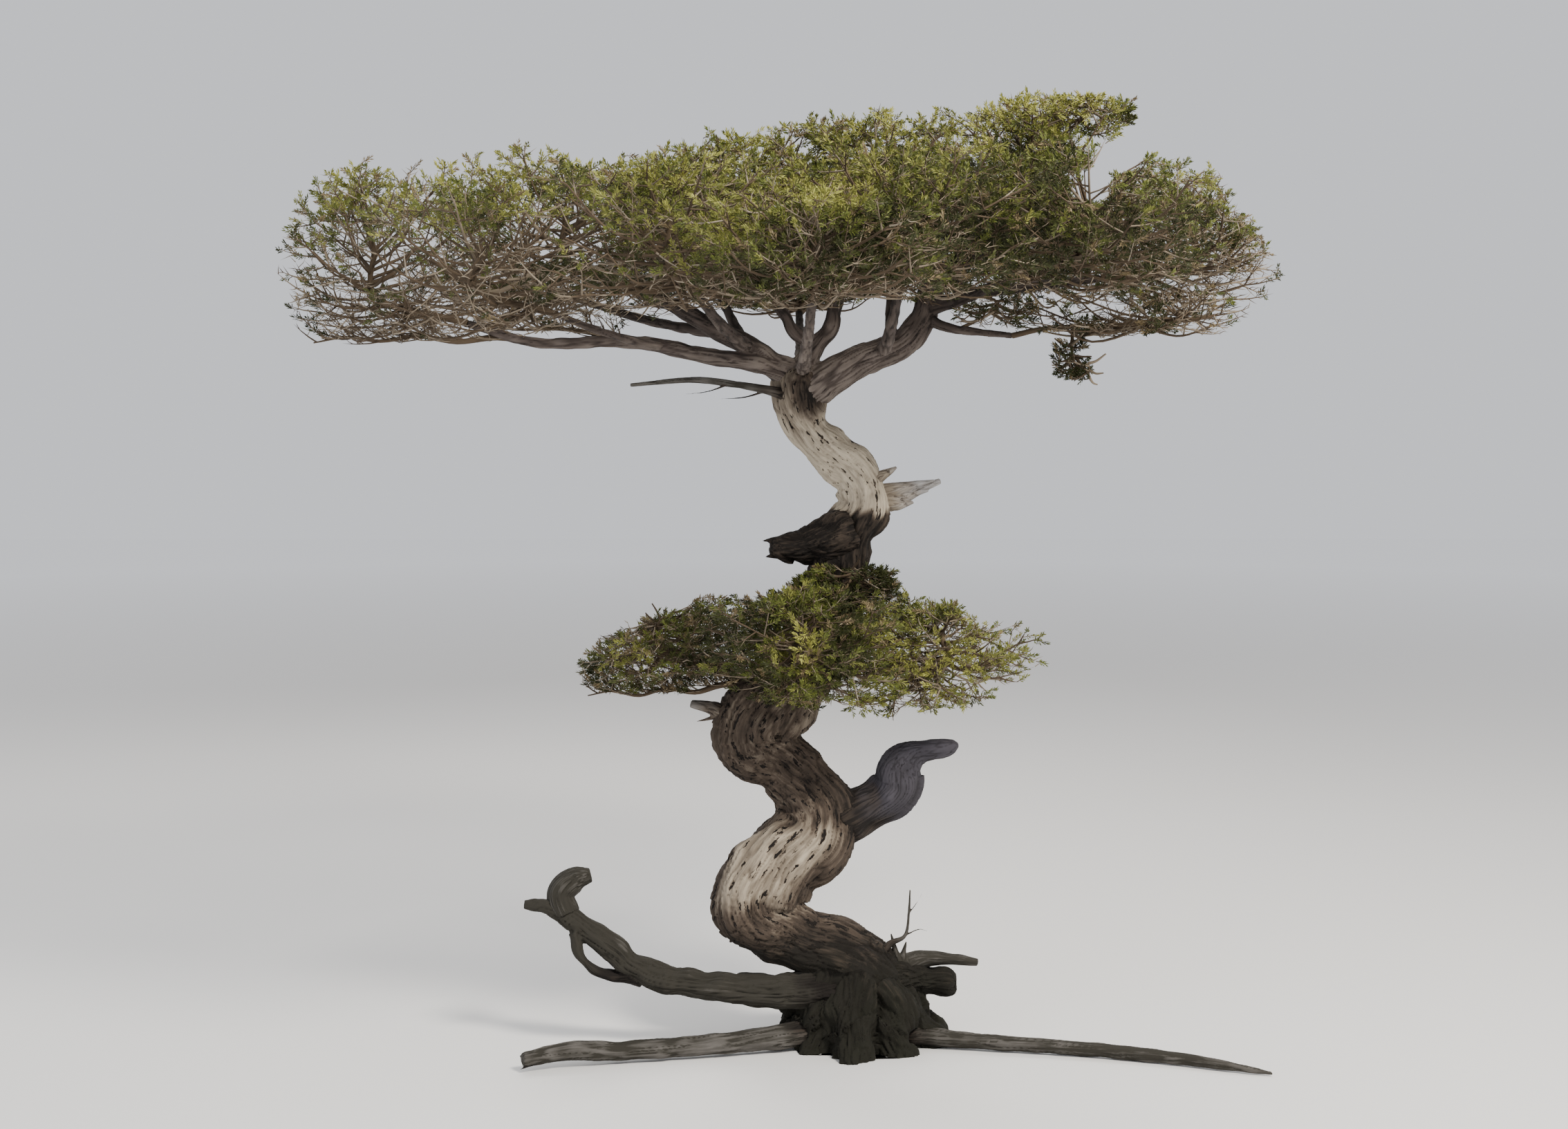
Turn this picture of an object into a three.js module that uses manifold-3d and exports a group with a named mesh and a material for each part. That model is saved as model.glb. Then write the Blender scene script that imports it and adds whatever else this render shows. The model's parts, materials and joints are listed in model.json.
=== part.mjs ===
// An old coast juniper: a stout trunk that zigzags up from the ground, a skirt of foliage round its
// middle, and a flat umbrella crown on spreading boughs. Bleached dead limbs and two surface roots
// spread from the root crown.
// Lengths are in millimetres. +Z is up, +X is to the viewer's right and +Y is away from the viewer.
// The origin is the middle of the trunk's flat cut at ground level.
import * as THREE from 'three';
import { mergeVertices } from 'three/addons/utils/BufferGeometryUtils.js';
import Module from 'manifold-3d';

const wasm = await Module();
wasm.setup();

// Driving sizes
const seatGap = 0.3; // clear space between a limb and what carries it
const fluteDepth = 0.07; // how deep the trunk's long flutes are, as a share of its radius
const fluteCount = 3;
const fluteTwist = 0.35; // radians that the flutes turn from one station of a limb to the next
const buttressCount = 7;
const buttressReach = 390; // from the trunk's middle to a buttress's toe
const buttressRadius = 88;
const buttressHeight = 240;
const spaceSquareness = 2.7; // 2 makes a foliage space an ellipsoid, more makes it boxier
const spaceMargin = 3; // clear space that foliage keeps to the edge of its own space
const limbMargin = 6; // clear space that foliage keeps to a limb
const goldenAngle = Math.PI * (3 - Math.sqrt(5));
const stemRadius = { root: 28, heart: 20, top: 12 };
const stemRise = 0.55; // how far a stem runs on above the heart, as a share of the mass's half height
const stemBare = 0.4; // the share of a stem below its first twig
const twigRadius = [13, 6]; // at the stem and at the tip
const shortestTwig = 80;
const twigDroop = 0.1; // how far a twig's middle hangs, as a share of its length
const spray = { length: 325, width: 215, thickness: 14, widest: 0.5 };
const spraySizes = [1, 0.85, 0.7, 0.55]; // tried in turn, until a spray fits
const sprayPlaces = [0.35, 0.8]; // shares of a twig's length that carry side sprays
const sprayLift = 0.35; // how far sprays turn up from their twig
const sprayRoll = 2.2; // radians over which the blades are turned about their length
// Heights in a mass, from -1 at its foot to 1 at its top, of its lowest twig's end and of its heart
const crownHabit = { lowest: -0.45, heart: -0.4 };
const skirtHabit = { lowest: -0.85, heart: -0.15 };
const woodTolerance = 0.05; // detail finer than this is dropped from a limb
const foliageTolerance = 1; // and from a mass of foliage

// The trunk from below the ground to its fork: x, y, z and radius of each bend
const trunkBends = [
  [-10, 0, -120, 300],
  [15, 0, 60, 240],
  [34, -5, 225, 186],
  [-72, -20, 362, 134],
  [-250, -50, 446, 134],
  [-422, -70, 585, 184],
  [-330, -45, 742, 176],
  [-180, -10, 868, 166],
  [-178, 20, 1000, 152],
  [-292, 50, 1142, 136],
  [-425, 60, 1295, 186],
  [-272, 35, 1490, 152],
  [-112, 0, 1725, 130],
  [-66, -20, 1960, 126],
  [-32, -30, 2120, 112],
  [34, -20, 2250, 107],
  [6, 0, 2368, 98],
  [-126, 20, 2490, 94],
  [-210, 20, 2600, 98],
  [-232, 10, 2712, 112],
  [-226, 5, 2800, 88],
  [-222, 0, 2846, 40],
];

// Dead limbs, broken stubs and surface roots. The first station of each lies inside its parent.
const deadLimbs = [
  {
    name: 'dead_limb_right',
    parent: 'trunk',
    bends: [
      [-60, 0, 930, 100],
      [68, 10, 990, 95],
      [172, 12, 1062, 106],
      [188, 6, 1150, 96],
      [250, 0, 1210, 60],
      [338, -6, 1230, 44],
      [404, -9, 1243, 31],
      [430, -10, 1249, 10],
    ],
  },
  {
    name: 'dead_limb_left',
    parent: 'trunk',
    bends: [
      [10, -60, 215, 88],
      [-180, -110, 226, 66],
      [-451, -130, 240, 54],
      [-781, -140, 280, 46],
      [-918, -140, 336, 45],
      [-1004, -140, 408, 38],
      [-1096, -135, 475, 34],
      [-1206, -130, 560, 37],
      [-1290, -130, 596, 20],
      [-1376, -130, 599, 5],
    ],
  },
  {
    name: 'dead_horn_left',
    parent: 'dead_limb_left',
    bends: [
      [-1200, -130, 556, 34],
      [-1226, -120, 640, 40],
      [-1172, -112, 698, 37],
      [-1100, -105, 718, 16],
    ],
  },
  {
    name: 'root_stub_right',
    parent: 'trunk',
    bends: [
      [60, 0, 250, 110],
      [190, 20, 250, 86],
      [300, 35, 238, 62],
      [392, 45, 228, 54],
      [428, 48, 224, 38],
    ],
  },
  {
    name: 'root_spike_right',
    parent: 'root_stub_right',
    bends: [
      [150, 30, 275, 38],
      [270, 50, 322, 26],
      [400, 66, 322, 16],
      [522, 76, 306, 5],
    ],
  },
  {
    name: 'dead_twig_right',
    parent: 'trunk',
    bends: [
      [60, -20, 300, 26],
      [140, -30, 405, 15],
      [206, -35, 445, 8],
      [222, -38, 540, 6],
      [227, -38, 640, 4],
    ],
  },
  {
    name: 'neck_stub_left',
    parent: 'trunk',
    bends: [
      [-30, -40, 2125, 110],
      [-140, -70, 2096, 92],
      [-240, -95, 2078, 64],
      [-325, -115, 2080, 46],
      [-354, -120, 2084, 22],
    ],
  },
  {
    name: 'knee_stub_right',
    parent: 'trunk',
    bends: [
      [40, -10, 2262, 82],
      [140, 10, 2268, 52],
      [235, 30, 2302, 27],
      [352, 50, 2346, 7],
    ],
  },
  {
    name: 'shoulder_stub_left',
    parent: 'trunk',
    bends: [
      [-480, 40, 1330, 52],
      [-590, 15, 1392, 30],
      [-690, 0, 1418, 17],
    ],
  },
  {
    name: 'dead_branch_left',
    parent: 'trunk',
    bends: [
      [-240, -20, 2690, 30],
      [-366, -70, 2722, 15],
      [-520, -110, 2748, 11],
      [-683, -130, 2762, 9],
      [-925, -160, 2741, 4],
    ],
  },
  {
    name: 'surface_root_right',
    parent: 'trunk',
    bends: [
      [40, -80, 60, 62],
      [330, -150, 44, 38],
      [640, -215, 36, 32],
      [960, -290, 33, 30],
      [1270, -400, 30, 27],
      [1500, -505, 22, 18],
      [1640, -560, 12, 7],
    ],
  },
  {
    name: 'surface_root_left',
    parent: 'trunk',
    bends: [
      [-40, -60, 70, 80],
      [-300, -190, 58, 52],
      [-640, -290, 48, 43],
      [-960, -370, 48, 40],
      [-1180, -430, 62, 38],
      [-1345, -500, 50, 31],
    ],
  },
];

// The crown, mass by mass, each on its own bough. Boughs with "via" show in the open below the crown;
// the others run out low from their parent and then climb. "share" is where on the parent they spring.
// "bare" is the share of the mass's height, from below, that is bare twig.
const crown = [
  {
    name: 'east_top',
    centre: [720, 120, 3640],
    half: [430, 430, 340],
    bough: {
      parent: 'trunk',
      share: 0.9,
      via: [[12, -20, 2842], [184, 0, 2914], [274, 30, 3020], [316, 50, 3150]],
      radius: [78, 42],
    },
    twigs: 7,
    bare: 0.2,
  },
  {
    name: 'west_upper',
    centre: [-1190, -60, 3390],
    half: [410, 430, 330],
    bough: {
      parent: 'trunk',
      share: 0.94,
      via: [[-335, -5, 2822], [-440, -5, 2898], [-560, -20, 2958], [-720, -30, 3050]],
      radius: [56, 27],
    },
    twigs: 7,
    bare: 0.2,
  },
  {
    name: 'west_tip',
    centre: [-1960, -140, 3250],
    half: [430, 430, 390],
    bough: {
      parent: 'trunk',
      share: 0.93,
      via: [[-390, -45, 2822], [-597, -75, 2858], [-941, -105, 2918], [-1300, -130, 2912]],
      radius: [42, 17],
    },
    twigs: 7,
    bare: 0.25,
  },
  {
    name: 'mid_east',
    centre: [20, -120, 3530],
    half: [420, 420, 360],
    bough: {
      parent: 'trunk',
      share: 0.97,
      via: [[-175, 10, 2898], [-108, 20, 2984], [-94, 10, 3060]],
      radius: [44, 26],
    },
    twigs: 7,
    bare: 0.25,
  },
  {
    name: 'mid_west',
    centre: [-560, -230, 3450],
    half: [400, 400, 350],
    bough: {
      parent: 'bough_mid_east',
      share: 0.28,
      via: [[-252, -20, 2956], [-308, -50, 3040]],
      radius: [30, 20],
    },
    twigs: 6,
    bare: 0.12,
  },
  {
    name: 'east_tip',
    centre: [1390, 30, 3340],
    half: [410, 430, 280],
    bough: {
      parent: 'bough_east_top',
      share: 0.84,
      via: [[480, 52, 3132], [656, 50, 3146]],
      radius: [30, 17],
    },
    twigs: 7,
    bare: 0.12,
  },
  {
    name: 'east_low',
    centre: [1080, -260, 2960],
    half: [480, 300, 190],
    bough: {
      parent: 'bough_east_top',
      share: 0.63,
      via: [[360, -20, 2984], [509, -60, 2960]],
      radius: [24, 13],
    },
    twigs: 5,
    bare: 0.0,
  },
  {
    name: 'mid_front',
    centre: [-720, -1060, 3280],
    half: [460, 420, 300],
    bough: { parent: 'bough_west_upper', share: 0.42, radius: [30, 19] },
    twigs: 6,
    bare: 0.12,
  },
  {
    name: 'front_far',
    centre: [-190, -1440, 3180],
    half: [420, 300, 220],
    bough: { parent: 'trunk', share: 0.955, radius: [30, 17] },
    twigs: 5,
    bare: 0.25,
  },
  {
    name: 'front_east',
    centre: [160, -980, 3330],
    half: [440, 430, 290],
    bough: { parent: 'bough_east_top', share: 0.3, radius: [30, 19] },
    twigs: 6,
    bare: 0.12,
  },
  {
    name: 'east_front',
    centre: [860, -720, 3370],
    half: [430, 430, 280],
    bough: { parent: 'bough_east_top', share: 0.66, radius: [28, 18] },
    twigs: 6,
    bare: 0.12,
  },
  {
    name: 'west_front',
    centre: [-1450, -820, 3200],
    half: [410, 420, 290],
    bough: { parent: 'bough_west_tip', share: 0.52, radius: [20, 14] },
    twigs: 6,
    bare: 0.25,
  },
  {
    name: 'mid_back',
    centre: [-660, 820, 3390],
    half: [450, 440, 310],
    bough: { parent: 'bough_west_upper', share: 0.36, radius: [30, 19] },
    twigs: 6,
    bare: 0.12,
  },
  {
    name: 'back_east',
    centre: [180, 830, 3490],
    half: [450, 440, 310],
    bough: { parent: 'bough_east_top', share: 0.34, radius: [32, 20] },
    twigs: 6,
    bare: 0.12,
  },
  {
    name: 'east_back',
    centre: [900, 900, 3400],
    half: [420, 420, 280],
    bough: { parent: 'bough_east_top', share: 0.7, radius: [28, 18] },
    twigs: 6,
    bare: 0.12,
  },
  {
    name: 'back_far',
    centre: [-230, 1450, 3260],
    half: [450, 320, 250],
    bough: { parent: 'trunk', share: 0.948, radius: [32, 18] },
    twigs: 5,
    bare: 0.25,
  },
  {
    name: 'west_back',
    centre: [-1480, 680, 3310],
    half: [430, 430, 300],
    bough: { parent: 'bough_west_upper', share: 0.6, radius: [26, 16] },
    twigs: 5,
    bare: 0.2,
  },
];

// The skirt of foliage round the middle of the trunk. Each stem springs from the trunk at "root".
const skirt = [
  {
    name: 'west',
    centre: [-810, -70, 1690],
    half: [380, 330, 220],
    root: [-300, 30, 1480],
    twigs: 6,
    bare: 0,
  },
  {
    name: 'front',
    centre: [-230, -410, 1670],
    half: [380, 330, 280],
    root: [-230, 15, 1560],
    twigs: 6,
    bare: 0,
  },
  {
    name: 'east',
    centre: [340, -100, 1620],
    half: [420, 340, 290],
    root: [-200, 15, 1590],
    twigs: 7,
    bare: 0,
  },
  {
    name: 'back',
    centre: [-130, 430, 1730],
    half: [390, 330, 270],
    root: [-220, 20, 1580],
    twigs: 6,
    bare: 0,
  },
];

const finish = {
  bark: new THREE.MeshStandardMaterial({ color: 0x6f665b, roughness: 0.95, metalness: 0 }),
  dead_wood: new THREE.MeshStandardMaterial({ color: 0x8f8b86, roughness: 0.9, metalness: 0 }),
  foliage: new THREE.MeshStandardMaterial({ color: 0x4c5a30, roughness: 0.85, metalness: 0 }),
};

const up = new THREE.Vector3(0, 0, 1);
const toVector = (p) => new THREE.Vector3(p[0], p[1], p[2]);
const mix = (a, b, s) => a + (b - a) * s;

// A seeded row of numbers from 0 to 1
function dice(seed) {
  let state = seed * 7919 + 17;
  const roll = () => {
    state = (state * 16807) % 2147483647;
    return state / 2147483647;
  };
  roll();
  roll();
  return roll;
}

// Catmull-Rom through stations of x, y, z and radius; t counts stations
function stationAt(stations, t) {
  const last = stations.length - 1;
  const i = Math.min(Math.floor(t), last - 1);
  const u = t - i;
  return stations[i].map((b, k) => {
    const c = stations[i + 1][k];
    const a = i > 0 ? stations[i - 1][k] : 2 * b - c;
    const d = i < last - 1 ? stations[i + 2][k] : 2 * c - b;
    const slope = c - a;
    const curve = 2 * a - 5 * b + 4 * c - d;
    const twist = 3 * b - a - 3 * c + d;
    return 0.5 * (2 * b + slope * u + curve * u * u + twist * u * u * u);
  });
}

// Evenly spaced samples of a limb, each with its place, radius and heading
function samplesOf(stations, steps) {
  const count = (stations.length - 1) * steps;
  const rows = [];
  for (let i = 0; i <= count; i += 1) {
    const here = stationAt(stations, i / steps);
    rows.push({ place: toVector(here), radius: here[3], station: i / steps });
  }
  rows.forEach((row, i) => {
    const before = rows[Math.max(i - 1, 0)].place;
    const after = rows[Math.min(i + 1, count)].place;
    row.heading = after.clone().sub(before).normalize();
  });
  return rows;
}

// A closed tube along the stations. "grow" swells it evenly, for cutting a neighbour clear of it.
function limbGeometry(stations, { sides, steps, flute = 0, grow = 0 }) {
  const rows = samplesOf(stations, steps);
  const normal = new THREE.Vector3(0, -1, 0);
  const points = [];
  const faces = [];
  rows.forEach((row, i) => {
    const across = Math.abs(normal.dot(row.heading)) > 0.9 ? new THREE.Vector3(1, 0, 0) : normal;
    normal.copy(across).addScaledVector(row.heading, -across.dot(row.heading)).normalize();
    const side = row.heading.clone().cross(normal);
    const push = i === 0 ? -grow : i === rows.length - 1 ? grow : 0;
    const middle = row.place.clone().addScaledVector(row.heading, push);
    for (let j = 0; j < sides; j += 1) {
      const angle = (2 * Math.PI * j) / sides;
      const lobe = 1 + flute * Math.cos(fluteCount * angle + fluteTwist * row.station);
      const radius = row.radius * lobe + grow;
      points.push(
        middle
          .clone()
          .addScaledVector(normal, radius * Math.cos(angle))
          .addScaledVector(side, radius * Math.sin(angle)),
      );
    }
  });
  for (let i = 0; i + 1 < rows.length; i += 1) {
    for (let j = 0; j < sides; j += 1) {
      const a = i * sides + j;
      const b = i * sides + ((j + 1) % sides);
      faces.push(a, b, b + sides, a, b + sides, a + sides);
    }
  }
  const top = (rows.length - 1) * sides;
  for (let j = 1; j + 1 < sides; j += 1) {
    faces.push(0, j + 1, j, top, top + j, top + j + 1);
  }
  return new THREE.BufferGeometry().setFromPoints(points).setIndex(faces);
}

// A pointed blade that stands for a spray of shoots: flat beneath and ridged above
function sprayGeometry({ base, heading, across, size }) {
  const length = spray.length * size;
  const half = (spray.width * size) / 2;
  const ridge = heading.clone().cross(across).normalize();
  const middle = base.clone().addScaledVector(heading, length * spray.widest);
  const points = [
    base,
    middle.clone().addScaledVector(across, half),
    middle.clone().addScaledVector(ridge, spray.thickness),
    middle.clone().addScaledVector(across, -half),
    base.clone().addScaledVector(heading, length),
  ];
  const faces = [0, 2, 1, 0, 3, 2, 0, 1, 3, 4, 1, 2, 4, 2, 3, 4, 3, 1];
  return new THREE.BufferGeometry().setFromPoints(points).setIndex(faces);
}

function toSolid(geometry) {
  geometry.deleteAttribute('normal');
  geometry.deleteAttribute('uv');
  const merged = mergeVertices(geometry, 1e-3);
  return new wasm.Manifold(
    new wasm.Mesh({
      numProp: 3,
      vertProperties: merged.attributes.position.array,
      triVerts: new Uint32Array(merged.index.array),
    }),
  );
}

function largestPiece(solid) {
  const pieces = solid.decompose();
  return pieces.reduce((best, piece) => (piece.volume() > best.volume() ? piece : best));
}

function toMesh(name, solid, material) {
  const { vertProperties, triVerts } = solid.getMesh();
  const geometry = new THREE.BufferGeometry();
  geometry.setAttribute('position', new THREE.BufferAttribute(new Float32Array(vertProperties), 3));
  geometry.setIndex(new THREE.BufferAttribute(new Uint32Array(triVerts), 1));
  geometry.computeVertexNormals();
  const mesh = new THREE.Mesh(geometry, material);
  mesh.name = name;
  return mesh;
}

// All that lies below the ground, which every limb is cut clear of
const groundBlock = 8000;
const belowGround = toSolid(
  new THREE.BoxGeometry(groundBlock, groundBlock, groundBlock).translate(0, 0, -groundBlock / 2),
);

// Every limb by name: its stations, and a swollen solid that later limbs are cut clear of
const limbs = new Map();
const model = new THREE.Group();

function addLimb(name, stations, shape, material, extras = []) {
  const grownShape = { ...shape, grow: seatGap };
  let solid = wasm.Manifold.union([
    toSolid(limbGeometry(stations, shape)),
    ...extras.map((make) => make(0)),
  ]);
  const keepOut = wasm.Manifold.union([
    solid,
    toSolid(limbGeometry(stations, grownShape)),
    ...extras.map((make) => make(seatGap)),
  ]);
  limbs.forEach((other) => {
    solid = solid.subtract(other.keepOut);
  });
  solid = largestPiece(solid.subtract(belowGround)).simplify(woodTolerance);
  limbs.set(name, { stations, keepOut });
  model.add(toMesh(name, solid, material));
}

// Buttresses run down and out from the trunk's foot, evenly round it. Each station's shares are of
// the buttress's reach, height and radius.
const buttressShape = [
  [0.1, 1.2, 0.9],
  [0.42, 0.62, 1],
  [0.75, 0.2, 0.8],
  [1.1, -0.2, 0.55],
];

function buttress(turn, grow) {
  const bearing = (2 * Math.PI * turn) / buttressCount + 0.4;
  const reach = buttressReach * (turn % 2 ? 0.86 : 1);
  const stations = buttressShape.map(([out, height, thick]) => [
    20 + reach * out * Math.cos(bearing),
    reach * out * Math.sin(bearing),
    buttressHeight * height,
    buttressRadius * thick,
  ]);
  return toSolid(limbGeometry(stations, { sides: 7, steps: 1, grow }));
}

function addTrunk() {
  const extras = Array.from({ length: buttressCount }, (_, turn) => (grow) => buttress(turn, grow));
  addLimb('trunk', trunkBends, { sides: 11, steps: 2, flute: fluteDepth }, finish.bark, extras);
}

// A foliage space is a rounded box about its centre: under 1 is inside
function depthIn(space, point) {
  const sum = [point.x, point.y, point.z].reduce(
    (total, value, k) => total + Math.abs((value - space.centre[k]) / space.half[k]) ** spaceSquareness,
    0,
  );
  return sum ** (1 / spaceSquareness);
}

// The low middle of a mass, which its bough makes for
const heartOf = (space) => toVector(space.centre).addScaledVector(up, space.heart * space.half[2]);

// The point where a line from outside to a mass's heart enters the mass
function entryOf(space, from) {
  const start = toVector(from);
  const heart = heartOf(space);
  let outside = 0;
  let inside = 1;
  for (let i = 0; i < 24; i += 1) {
    const middle = (outside + inside) / 2;
    if (depthIn(space, start.clone().lerp(heart, middle)) > 1) outside = middle;
    else inside = middle;
  }
  return start.lerp(heart, inside);
}

// A plane between two masses that share ground, so that each keeps to its own side
function planeBetween(space, other) {
  const centre = toVector(space.centre);
  const heading = toVector(other.centre).sub(centre);
  const distance = heading.length();
  heading.normalize();
  const own = 1 / depthIn(space, centre.clone().add(heading));
  const theirs = 1 / depthIn(other, toVector(other.centre).sub(heading));
  return { heading, limit: heading.dot(centre) + (distance * own) / (own + theirs) };
}

const masses = [
  ...crown.map((row) => ({ ...row, node: `crown_${row.name}`, ...crownHabit })),
  ...skirt.map((row) => ({ ...row, node: `skirt_${row.name}`, ...skirtHabit })),
];
masses.forEach((space, i) => {
  space.seed = i + 1;
  space.planes = masses.filter((other) => other !== space).map((other) => planeBetween(space, other));
});

function isInside(space, point, margin) {
  const grip = margin / Math.min(...space.half);
  if (depthIn(space, point) > 1 - grip) return false;
  return space.planes.every((plane) => plane.heading.dot(point) < plane.limit - margin);
}

// The shortest distance between the lines a-b and c-d
function lineGap(a, b, c, d) {
  const first = b.clone().sub(a);
  const second = d.clone().sub(c);
  const between = a.clone().sub(c);
  const aa = first.dot(first);
  const ee = second.dot(second);
  const ab = first.dot(second);
  const ac = first.dot(between);
  const ec = second.dot(between);
  const spread = aa * ee - ab * ab;
  const clamp = (value) => Math.min(1, Math.max(0, value));
  let s = spread > 1e-9 ? clamp((ab * ec - ac * ee) / spread) : 0;
  const t = clamp((ab * s + ec) / ee);
  s = clamp((ab * t - ac) / aa);
  return a.clone().addScaledVector(first, s).distanceTo(c.clone().addScaledVector(second, t));
}

// The limbs as short straight lines with a radius, for telling whether foliage would touch them
function limbLines() {
  const lines = [];
  limbs.forEach(({ stations }) => {
    const rows = samplesOf(stations, 2);
    for (let i = 0; i + 1 < rows.length; i += 1) {
      const radius = Math.max(rows[i].radius, rows[i + 1].radius) * (1 + fluteDepth);
      lines.push({ a: rows[i].place, b: rows[i + 1].place, radius });
    }
  });
  return lines;
}

const touchesLimb = (lines, a, b, reach) =>
  lines.some((line) => lineGap(a, b, line.a, line.b) < line.radius + reach + limbMargin);

// How far a mass reaches from a point inside it along a heading
function reachIn(space, from, heading) {
  let near = 0;
  let far = 2 * Math.max(...space.half);
  for (let i = 0; i < 16; i += 1) {
    const middle = (near + far) / 2;
    if (isInside(space, from.clone().addScaledVector(heading, middle), spaceMargin)) near = middle;
    else far = middle;
  }
  return near;
}

// The stem of a mass: from its bough's tip, or from inside the trunk, up to above the mass's middle
function stemOf(space) {
  const heart = heartOf(space);
  const top = heart.clone().addScaledVector(up, stemRise * space.half[2]);
  if (space.root) {
    return [
      [...space.root, stemRadius.root],
      [...heart.toArray(), stemRadius.heart],
      [...top.toArray(), stemRadius.top],
    ];
  }
  const { stations } = limbs.get(`bough_${space.name}`);
  const rows = samplesOf(stations, 4);
  const tip = rows[rows.length - 1];
  const start = tip.place.clone().addScaledVector(tip.heading, seatGap);
  const lead = start.clone().addScaledVector(tip.heading, 0.12 * start.distanceTo(heart));
  return [
    [...start.toArray(), tip.radius],
    [...lead.toArray(), tip.radius],
    [...heart.toArray(), mix(tip.radius, stemRadius.top, 0.6)],
    [...top.toArray(), stemRadius.top],
  ];
}

// Twigs leave the stem in golden-angle turns, the low ones outward and the high ones upward
function twigsOf(space, stem, roll) {
  const twigs = [];
  const turnOffset = roll() * Math.PI;
  for (let k = 0; k < space.twigs; k += 1) {
    const height = mix(space.lowest, 1, (k + 0.5) / space.twigs);
    const level = Math.sqrt(1 - height ** 2);
    const bearing = turnOffset + k * goldenAngle + 0.5 * roll();
    const leave = stationAt(stem, (stem.length - 1) * mix(stemBare, 1, (k + 0.3) / space.twigs));
    const from = toVector(leave);
    const goal = new THREE.Vector3(
      space.centre[0] + space.half[0] * level * Math.cos(bearing),
      space.centre[1] + space.half[1] * level * Math.sin(bearing),
      space.centre[2] + space.half[2] * height,
    );
    const heading = goal.sub(from).normalize();
    const room = reachIn(space, from, heading) * mix(0.9, 1, roll());
    const length = Math.max(room - 0.72 * spray.length, shortestTwig);
    const middle = from.clone().addScaledVector(heading, 0.55 * length);
    middle.z -= twigDroop * length;
    const target = from.clone().addScaledVector(heading, length);
    twigs.push([
      [...from.toArray(), twigRadius[0]],
      [...middle.toArray(), mix(twigRadius[0], twigRadius[1], 0.5)],
      [...target.toArray(), twigRadius[1]],
    ]);
  }
  return twigs;
}

// One spray at the twig's end, and side sprays to its left and right in turn
function spraysOf(twig, roll) {
  const rows = samplesOf(twig, 4);
  const last = rows.length - 1;
  const onSpray = (row, heading) => {
    const base = row.place.clone().addScaledVector(heading, -0.3 * row.radius);
    const flat = heading.clone().cross(up).normalize();
    return { base, heading, across: flat.applyAxisAngle(heading, (roll() - 0.5) * sprayRoll) };
  };
  const end = rows[last].heading.clone().addScaledVector(up, 0.5 * sprayLift).normalize();
  const sides = sprayPlaces.map((share, i) => {
    const row = rows[Math.round(share * last)];
    const side = row.heading.clone().cross(up).normalize();
    const heading = row.heading.clone().multiplyScalar(0.6);
    heading.addScaledVector(side, i % 2 ? 0.8 : -0.8);
    heading.addScaledVector(up, sprayLift * 2 * roll());
    return onSpray(row, heading.normalize());
  });
  return [onSpray(rows[last - 1], end), ...sides];
}

function isClear(space, lines, { base, heading, across, size }) {
  const length = spray.length * size;
  const half = (spray.width * size) / 2;
  const tip = base.clone().addScaledVector(heading, length);
  const middle = base.clone().addScaledVector(heading, length * spray.widest);
  const edges = [half, -half].map((reach) => middle.clone().addScaledVector(across, reach));
  const margin = spaceMargin + spray.thickness;
  if (![base, tip, ...edges].every((corner) => isInside(space, corner, margin))) return false;
  return !touchesLimb(lines, middle, tip, half) && !touchesLimb(lines, base, tip, half / 3);
}

function addMass(space, lines) {
  const roll = dice(space.seed);
  const stem = stemOf(space);
  const parts = [toSolid(limbGeometry(stem, { sides: 5, steps: 1 }))];
  const bareLine = space.centre[2] + space.half[2] * (2 * space.bare - 1);
  twigsOf(space, stem, roll).forEach((twig) => {
    const sprays = spraysOf(twig, roll);
    const [from, middle, target] = twig.map(toVector);
    if (touchesLimb(lines, from.lerp(middle, 0.6), target, twigRadius[0])) return;
    parts.push(toSolid(limbGeometry(twig, { sides: 3, steps: 1 })));
    sprays.forEach((one) => {
      const size = spraySizes.find((share) => isClear(space, lines, { ...one, size: share }));
      if (size && one.base.z > bareLine) parts.push(toSolid(sprayGeometry({ ...one, size })));
    });
  });
  const carrier = limbs.get(space.bough ? `bough_${space.name}` : 'trunk');
  const grown = wasm.Manifold.union(parts).simplify(foliageTolerance).subtract(carrier.keepOut);
  model.add(toMesh(space.node, largestPiece(grown).simplify(woodTolerance), finish.foliage));
}

// A bough's stations, from inside its parent to where it enters its mass
function boughStations(space) {
  const { parent, share, via, radius } = space.bough;
  const carrier = limbs.get(parent).stations;
  const from = stationAt(carrier, share * (carrier.length - 1)).slice(0, 3);
  const open = via ?? [];
  const near = open.length ? open[open.length - 1] : from;
  const tip = entryOf(space, near).toArray();
  const climb = [0.3, 0.65].map((s) => [
    mix(from[0], tip[0], s),
    mix(from[1], tip[1], s),
    mix(from[2], tip[2], s ** 1.4),
  ]);
  const route = [from, ...(open.length ? open : climb), tip];
  const lengths = route.map((p, i) => (i ? toVector(p).distanceTo(toVector(route[i - 1])) : 0));
  const whole = lengths.reduce((a, b) => a + b);
  let run = 0;
  return route.map((p, i) => {
    run += lengths[i];
    return [...p, mix(radius[0], radius[1], run / whole)];
  });
}

addTrunk();
deadLimbs.forEach(({ name, bends }) => {
  addLimb(name, bends, { sides: 7, steps: 1 }, finish.dead_wood);
});
masses
  .filter((space) => space.bough)
  .forEach((space) => {
    addLimb(`bough_${space.name}`, boughStations(space), { sides: 6, steps: 2 }, finish.bark);
  });
const lines = limbLines();
masses.forEach((space) => addMass(space, lines));

export default model;
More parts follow.
